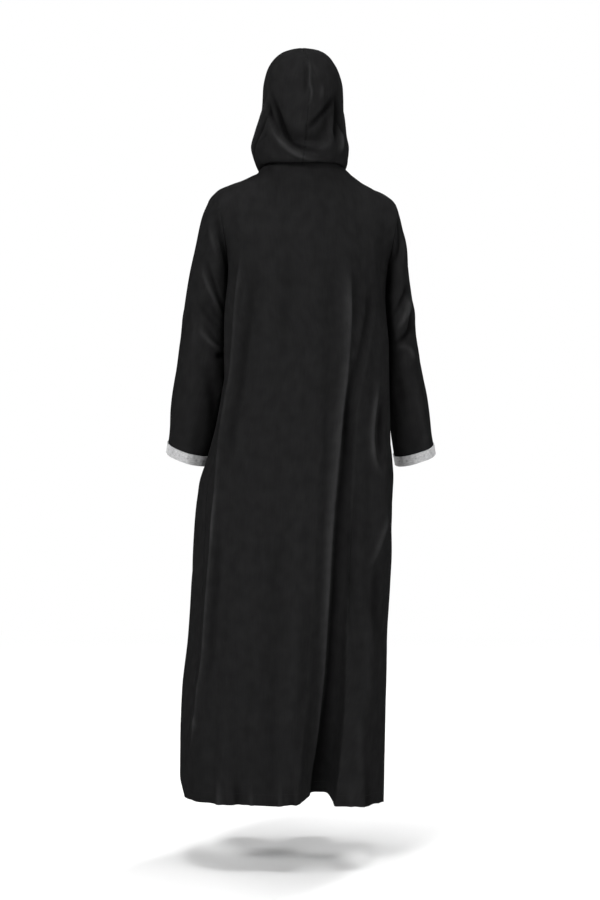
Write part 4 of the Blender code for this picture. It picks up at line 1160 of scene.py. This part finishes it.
def wall_piece(name, outer, inner, painted_fold_light, closed_ring, facing, material):
    """A piece of cloth as a closed wall; the layer inside has every second row and column."""
    rows, columns = outer.shape[:2]
    kept_rows, kept_columns = every_second(rows), every_second(columns)
    chart = flat_chart(outer, painted_fold_light)
    if closed_ring:
        chart[..., 1] = chart[-1:, :, 1] - chart[..., 1]
    points, charts, merged = [], [], []

    def add(layer, flat):
        """Numbers of the points of a layer or line, whose last column is its first on a closed ring."""
        first = sum(len(part) for part in points)
        points.append(layer.reshape(-1, 3))
        charts.append(flat.reshape(-1, 3))
        numbers = first + np.arange(len(points[-1])).reshape(layer.shape[:-1])
        same = numbers.copy()
        if closed_ring:
            same[..., -1] = same[..., 0]
        merged.append(same.ravel())
        return numbers

    outside = add(outer, chart)
    sparse = np.ix_(kept_rows, kept_columns)
    inside = add(inner[sparse], chart[sparse])
    faces = grid_quads(outside, outer) + turned_over(grid_quads(inside, inner[sparse]))
    whole = slice(None)
    edges = [((0, whole), (1, whole), kept_columns, False), ((-1, whole), (-2, whole), kept_columns, True)]
    if not closed_ring:
        edges += [((whole, 0), (whole, 1), kept_rows, True), ((whole, -1), (whole, -2), kept_rows, False)]
    for edge, beside, kept, backwards in edges:
        outward = outer[edge] - outer[beside]
        outward /= np.linalg.norm(outward, axis=-1)[:, None]
        rim = add((outer[edge] + inner[edge]) / 2 + outward * EDGE_ROUNDING, chart[edge])
        full, sparse_line = outside[edge], inside[edge]
        if backwards:
            full, rim, sparse_line = full[::-1], rim[::-1], sparse_line[::-1]
            kept = len(full) - 1 - kept[::-1]
        faces += [list(quad) for quad in zip(full[1:], full[:-1], rim[:-1], rim[1:])]
        faces += strip_faces(rim, sparse_line, kept)
    if facing == 1:
        faces = turned_over(faces)

    points = np.concatenate(points)
    charts = np.concatenate(charts)
    used, vertex = np.unique(np.concatenate(merged), return_inverse=True)
    corners = np.concatenate([np.array(face) for face in faces])
    mesh = bpy.data.meshes.new(name)
    mesh.from_pydata(points[used].tolist(), [], [vertex[face].tolist() for face in faces])
    mesh.update()
    mesh.shade_smooth()
    mesh.set_sharp_from_angle(angle=math.radians(SHARP_EDGE_DEGREES))
    mesh.uv_layers.new(name=CHART).data.foreach_set("uv", charts[corners, :2].ravel())
    # The painted highlight and shade of the folds, kept on the points for the cloth's colour.
    mesh.attributes.new(name=PAINTED_LIGHT_NAME, type="FLOAT", domain="POINT").data.foreach_set("value", charts[used, 2])
    mesh.materials.append(material)
    return placed(name, mesh)


def placed(name, data):
    """A new object in the scene."""
    piece = bpy.data.objects.new(name, data)
    bpy.context.scene.collection.objects.link(piece)
    return piece


class Nodes:
    """The nodes of a material or of the world, put together one by one."""

    def __init__(self, owner):
        owner.use_nodes = True
        self.tree = owner.node_tree

    def add(self, kind, inputs, output=0, **settings):
        """An output of a new node; its inputs are plain values or other nodes' outputs."""
        node = self.tree.nodes.new("ShaderNode" + kind)
        for name, value in settings.items():
            setattr(node, name, value)
        self.feed(node, inputs)
        return node.outputs[output]

    def feed(self, node, inputs):
        for name, value in inputs.items():
            if isinstance(value, bpy.types.NodeSocket):
                self.tree.links.new(value, node.inputs[name])
            else:
                node.inputs[name].default_value = value

    def white_light(self):
        return self.add("Emission", {"Color": WHITE, "Strength": 1.0}, "Emission")


class Shading(Nodes):
    """A material on the flat chart of the cloth in metres."""

    def __init__(self, name):
        self.material = bpy.data.materials.new(name)
        super().__init__(self.material)
        self.shader = self.tree.nodes["Principled BSDF"]
        self.chart = self.add("UVMap", {}, "UV", uv_map=CHART)

    def noise(self, across, up, detail):
        """Cloudy noise with so many cells to the metre across and up the cloth."""
        stretched = self.add("VectorMath", {0: self.chart, 1: (across, up, 1.0)}, operation="MULTIPLY")
        return self.add("TexNoise", {"Vector": stretched, "Scale": 1.0, "Detail": detail}, "Fac")

    def math(self, operation, first, second=0.0):
        return self.add("Math", {0: first, 1: second}, operation=operation)

    def blend(self, first, first_share, second, second_share):
        """The sum of two values, each times its own share."""
        parts = [self.math("MULTIPLY", first, first_share), self.math("MULTIPLY", second, second_share)]
        return self.math("ADD", *parts)

    def spread(self, value, low, high, new_low, new_high):
        """A value moved from one range to another, and kept in it."""
        return self.add("MapRange", dict(enumerate((value, low, high, new_low, new_high))))

    def along(self, axis):
        """The place across the flat cloth, X, or up it, Y."""
        return self.add("SeparateXYZ", {0: self.chart}, axis)

    def wave(self, across, up):
        """A smooth wave with so many crests to the metre across and up the cloth."""
        turn = 2 * math.pi
        return self.math("SINE", self.blend(self.along("X"), across * turn, self.along("Y"), up * turn))

    def mix(self, share, first, second):
        return self.add("Mix", {"Factor": share, "A": first, "B": second}, "Result", data_type="RGBA")

    def finished(self, colour, roughness, specular, weave, strength, distance):
        """The material, with its weave standing up as fine bumps."""
        bumps = self.add("Bump", {"Height": weave, "Strength": strength, "Distance": distance}, "Normal")
        self.feed(self.shader, {
            "Base Color": colour,
            "Roughness": roughness,
            "Specular IOR Level": specular,
            "Normal": bumps,
        })
        return self.material


def stitches(shading, places):
    """1 on the stitches of the rows that lie so far above the lower edge, and 0 elsewhere."""
    dash = shading.math("GREATER_THAN", shading.wave(1 / STITCH_LENGTH, 0), STITCH_GAP)
    rows = 0.0
    for place in places:
        apart = shading.math("ABSOLUTE", shading.math("SUBTRACT", shading.along("Y"), place))
        rows = shading.math("MAXIMUM", shading.math("LESS_THAN", apart, STITCH_WIDTH / 2), rows)
    return shading.math("MULTIPLY", rows, dash)


def black_cloth(name, stitched_at=()):
    """A smooth black cloth, mottled and with a fine twill, with painted highlight on its folds' crests and
    painted shade in their valleys.
    """
    shading = Shading(name)
    streaks = shading.noise(*STREAKS)
    mottling = shading.blend(streaks, STREAK_SHARE, shading.noise(*CLOUDS), 1 - STREAK_SHARE)
    colour = shading.mix(shading.spread(mottling, *MOTTLING_RANGE, 0, 1), CLOTH_DARK, CLOTH_LIGHT)
    # Painted highlight on the folds' crests and painted shade in their valleys; crest, valley and tone scale
    # the cloth's colour.
    painted_fold_light = shading.add("Attribute", {}, "Fac", attribute_name=PAINTED_LIGHT_NAME)
    crest = shading.math("POWER", shading.math("MAXIMUM", painted_fold_light, 0.0), PAINTED_HIGHLIGHT_SHARPNESS)
    valley = shading.math("MINIMUM", painted_fold_light, 0.0)
    tone = shading.math("ADD", shading.blend(crest, CREST_PAINTED_HIGHLIGHT - 1, valley, 1 - VALLEY_PAINTED_SHADE), 1.0)
    colour = shading.add("VectorMath", {0: colour, "Scale": tone}, "Vector", operation="SCALE")
    weave = shading.blend(shading.wave(*TWILL), TWILL_SHARE, shading.noise(*YARNS), 1.0)
    if stitched_at:
        sewn = stitches(shading, stitched_at)
        colour = shading.mix(sewn, colour, THREAD)
        weave = shading.blend(weave, 1.0, sewn, STITCH_RISE)
    roughness = shading.spread(streaks, *ROUGHNESS_RANGE, *CLOTH_ROUGHNESS)
    return shading.finished(colour, roughness, CLOTH_SPECULAR, weave, *CLOTH_BUMP)


def silver_band(name):
    """A woven silver-grey band: fine upright ribs, a plain edge above and below, and small lozenges."""
    shading = Shading(name)
    ribs, ticks = shading.wave(1 / BAND_RIB, 0), shading.wave(0, 1 / BAND_TICK)
    weave = shading.blend(ribs, RIB_SHARE, ticks, 1 - RIB_SHARE)
    mottling = shading.spread(shading.noise(*BAND_CLOUDS), *BAND_CLOUD_RANGE, -1, 1)
    from_middle = shading.math("ABSOLUTE", shading.math("SUBTRACT", shading.along("Y"), BAND_HEIGHT / 2))
    in_edge = shading.math("GREATER_THAN", from_middle, BAND_HEIGHT / 2 - BAND_EDGE)
    across = shading.math("ABSOLUTE", shading.wave(0.5 / BAND_LOZENGE, 0))
    around = shading.math("ADD", across, shading.math("DIVIDE", from_middle, BAND_HEIGHT / 4))
    in_lozenge = shading.math("LESS_THAN", around, LOZENGE_SIZE)
    marks = shading.math("MULTIPLY", in_lozenge, shading.math("SUBTRACT", 1.0, in_edge))
    shade = shading.spread(shading.math("ADD", weave, mottling), -BAND_CONTRAST, BAND_CONTRAST, 0, 1)
    colour = shading.mix(shade, BAND_DARK, BAND_LIGHT)
    colour = shading.mix(shading.math("MULTIPLY", marks, MARK_STRENGTH), colour, BAND_MARK)
    shading.feed(shading.shader, {"Sheen Weight": BAND_SHEEN})
    roughness = shading.spread(weave, -1, 1, *BAND_ROUGHNESS)
    return shading.finished(colour, roughness, BAND_SPECULAR, weave, *BAND_BUMP)


def surfaced(name):
    """A new material, its nodes, and the node that its surface goes to."""
    material = bpy.data.materials.new(name)
    nodes = Nodes(material)
    return material, nodes, nodes.tree.nodes["Material Output"]


def floor_finish():
    """Pale and matt near the garment, fading to the backdrop's white far from it."""
    material, nodes, surface = surfaced("pale_floor")
    place = nodes.add("TexCoord", {}, "Object")
    cloud = nodes.add("TexNoise", {"Vector": place, "Scale": FLOOR_CELLS}, "Fac")
    tone = nodes.add("MapRange", {"Value": cloud, "To Min": FLOOR_TONES[0], "To Max": FLOOR_TONES[1]})
    shader = nodes.tree.nodes["Principled BSDF"]
    nodes.feed(shader, {"Base Color": tone, "Roughness": FLOOR_ROUGHNESS})
    nodes.feed(shader, {"Specular IOR Level": FLOOR_SPECULAR})
    reach = nodes.add("VectorMath", {0: place}, "Value", operation="LENGTH")
    limits = {"From Min": FLOOR_FADE[0], "From Max": FLOOR_FADE[1]}
    fade = nodes.add("MapRange", {"Value": reach, **limits}, interpolation_type="SMOOTHSTEP")
    finishes = {1: shader.outputs["BSDF"], 2: nodes.white_light()}
    mixed = nodes.add("MixShader", {"Fac": fade, **finishes}, "Shader")
    nodes.feed(surface, {"Surface": mixed})
    return material


def add_floor():
    mesh = bpy.data.meshes.new("floor")
    half = FLOOR_HALF_WIDTH
    corners = [(-half, -half, 0), (half, -half, 0), (half, half, 0), (-half, half, 0)]
    mesh.from_pydata(corners, [], [(0, 1, 2, 3)])
    mesh.materials.append(floor_finish())
    floor = placed("floor", mesh)
    floor.location.z = FLOOR_HEIGHT


def add_backdrop():
    """A plain white dome far behind everything, which the cloth neither reflects nor is lit by."""
    bpy.ops.mesh.primitive_uv_sphere_add(segments=32, ring_count=16, radius=BACKDROP_RADIUS)
    dome = bpy.context.object
    dome.name = "backdrop"
    material, nodes, surface = surfaced("white_backdrop")
    nodes.feed(surface, {"Surface": nodes.white_light()})
    dome.data.materials.append(material)
    for ray in ("diffuse", "glossy", "transmission", "shadow"):
        setattr(dome, "visible_" + ray, False)


def add_world():
    """Plain even studio light, a little brighter from overhead."""
    world = bpy.data.worlds.new("studio")
    bpy.context.scene.world = world
    nodes = Nodes(world)
    height = nodes.add("SeparateXYZ", {0: nodes.add("TexCoord", {}, "Generated")}, "Z")
    light = nodes.add("MapRange", {"Value": height, "To Min": WORLD_HORIZON, "To Max": WORLD_OVERHEAD})
    nodes.feed(nodes.tree.nodes["Background"], {"Color": WHITE, "Strength": light})


def add_light(name, place, target, size, power):
    light = bpy.data.lights.new(name, "AREA")
    light.shape = "DISK"
    light.size = size
    light.energy = power
    lamp = placed(name, light)
    lamp.location = place
    lamp.rotation_euler = (Vector(target) - Vector(place)).to_track_quat("-Z", "Y").to_euler()


def add_camera():
    camera = bpy.data.cameras.new("camera")
    camera.sensor_fit = "VERTICAL"
    camera.sensor_height = CAMERA_SENSOR
    camera.lens = CAMERA_LENS
    eye = placed("camera", camera)
    eye.location = CAMERA_PLACE
    eye.rotation_euler = CAMERA_TURN
    bpy.context.scene.camera = eye


def main():
    form, grids = build_form()
    points = eased_at_armpits(np.array(form.points), grids)
    points, painted_fold_light = folded(points, form_normals(points, grids), grids)
    # The hood folds sharply away from the shoulders, so each side of that seam has its own thickness.
    hood = {name: grid for name, grid in grids.items() if name.startswith("hood")}
    robe = {name: grid for name, grid in grids.items() if name not in hood}
    hood_normals = form_normals(points, hood)
    robe_normals = form_normals(points, robe)
    cloth = {
        "panel": black_cloth("black_cloth_hemmed", HEM_STITCHES),
        "sleeve": black_cloth("black_cloth_sleeves", SLEEVE_STITCHES),
        "hood": black_cloth("black_cloth_hood"),
    }
    band = silver_band("silver_band")

    for name, grid in grids.items():
        kind = next(kind for kind in cloth if kind in name)
        closed_ring = kind == "sleeve"
        numbers = np.array(grid)
        normals = (hood_normals if kind == "hood" else robe_normals)[numbers]
        layer = moved_in(points[numbers], closed_ring)
        layer -= normals * seam_dip(layer, SEWN_EDGES[kind])[..., None]
        inner = layer - normals * CLOTH_THICKNESS
        facing = FACING[name]
        piece = wall_piece(name + "_cloth", layer, inner, painted_fold_light[numbers], closed_ring, facing, cloth[kind])
        dress(piece, name, *FLAT_CUTS[name])
        if closed_ring:
            cuff = name.replace("sleeve", "cuff")
            ends, outward = points[numbers[-BAND_ROWS - 1 :]], normals[-BAND_ROWS - 1 :]
            under = ends + outward * SEAM_GAP
            outer = under + outward * BAND_THICKNESS
            flat = np.zeros(under.shape[:2])
            piece = wall_piece(cuff + "_band", outer, under, flat, True, facing, band)
            dress(piece, cuff, *FLAT_CUTS[cuff])

    add_floor()
    add_backdrop()
    add_world()
    for light in LIGHTS:
        add_light(*light)
    add_camera()
    bpy.context.scene.view_settings.view_transform = "Standard"


def dress(piece, node, flat_size, flat_area):
    """Hides the solid that a piece stands for, and attaches the piece to the root body."""
    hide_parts(node)
    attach(piece, "root")


main()
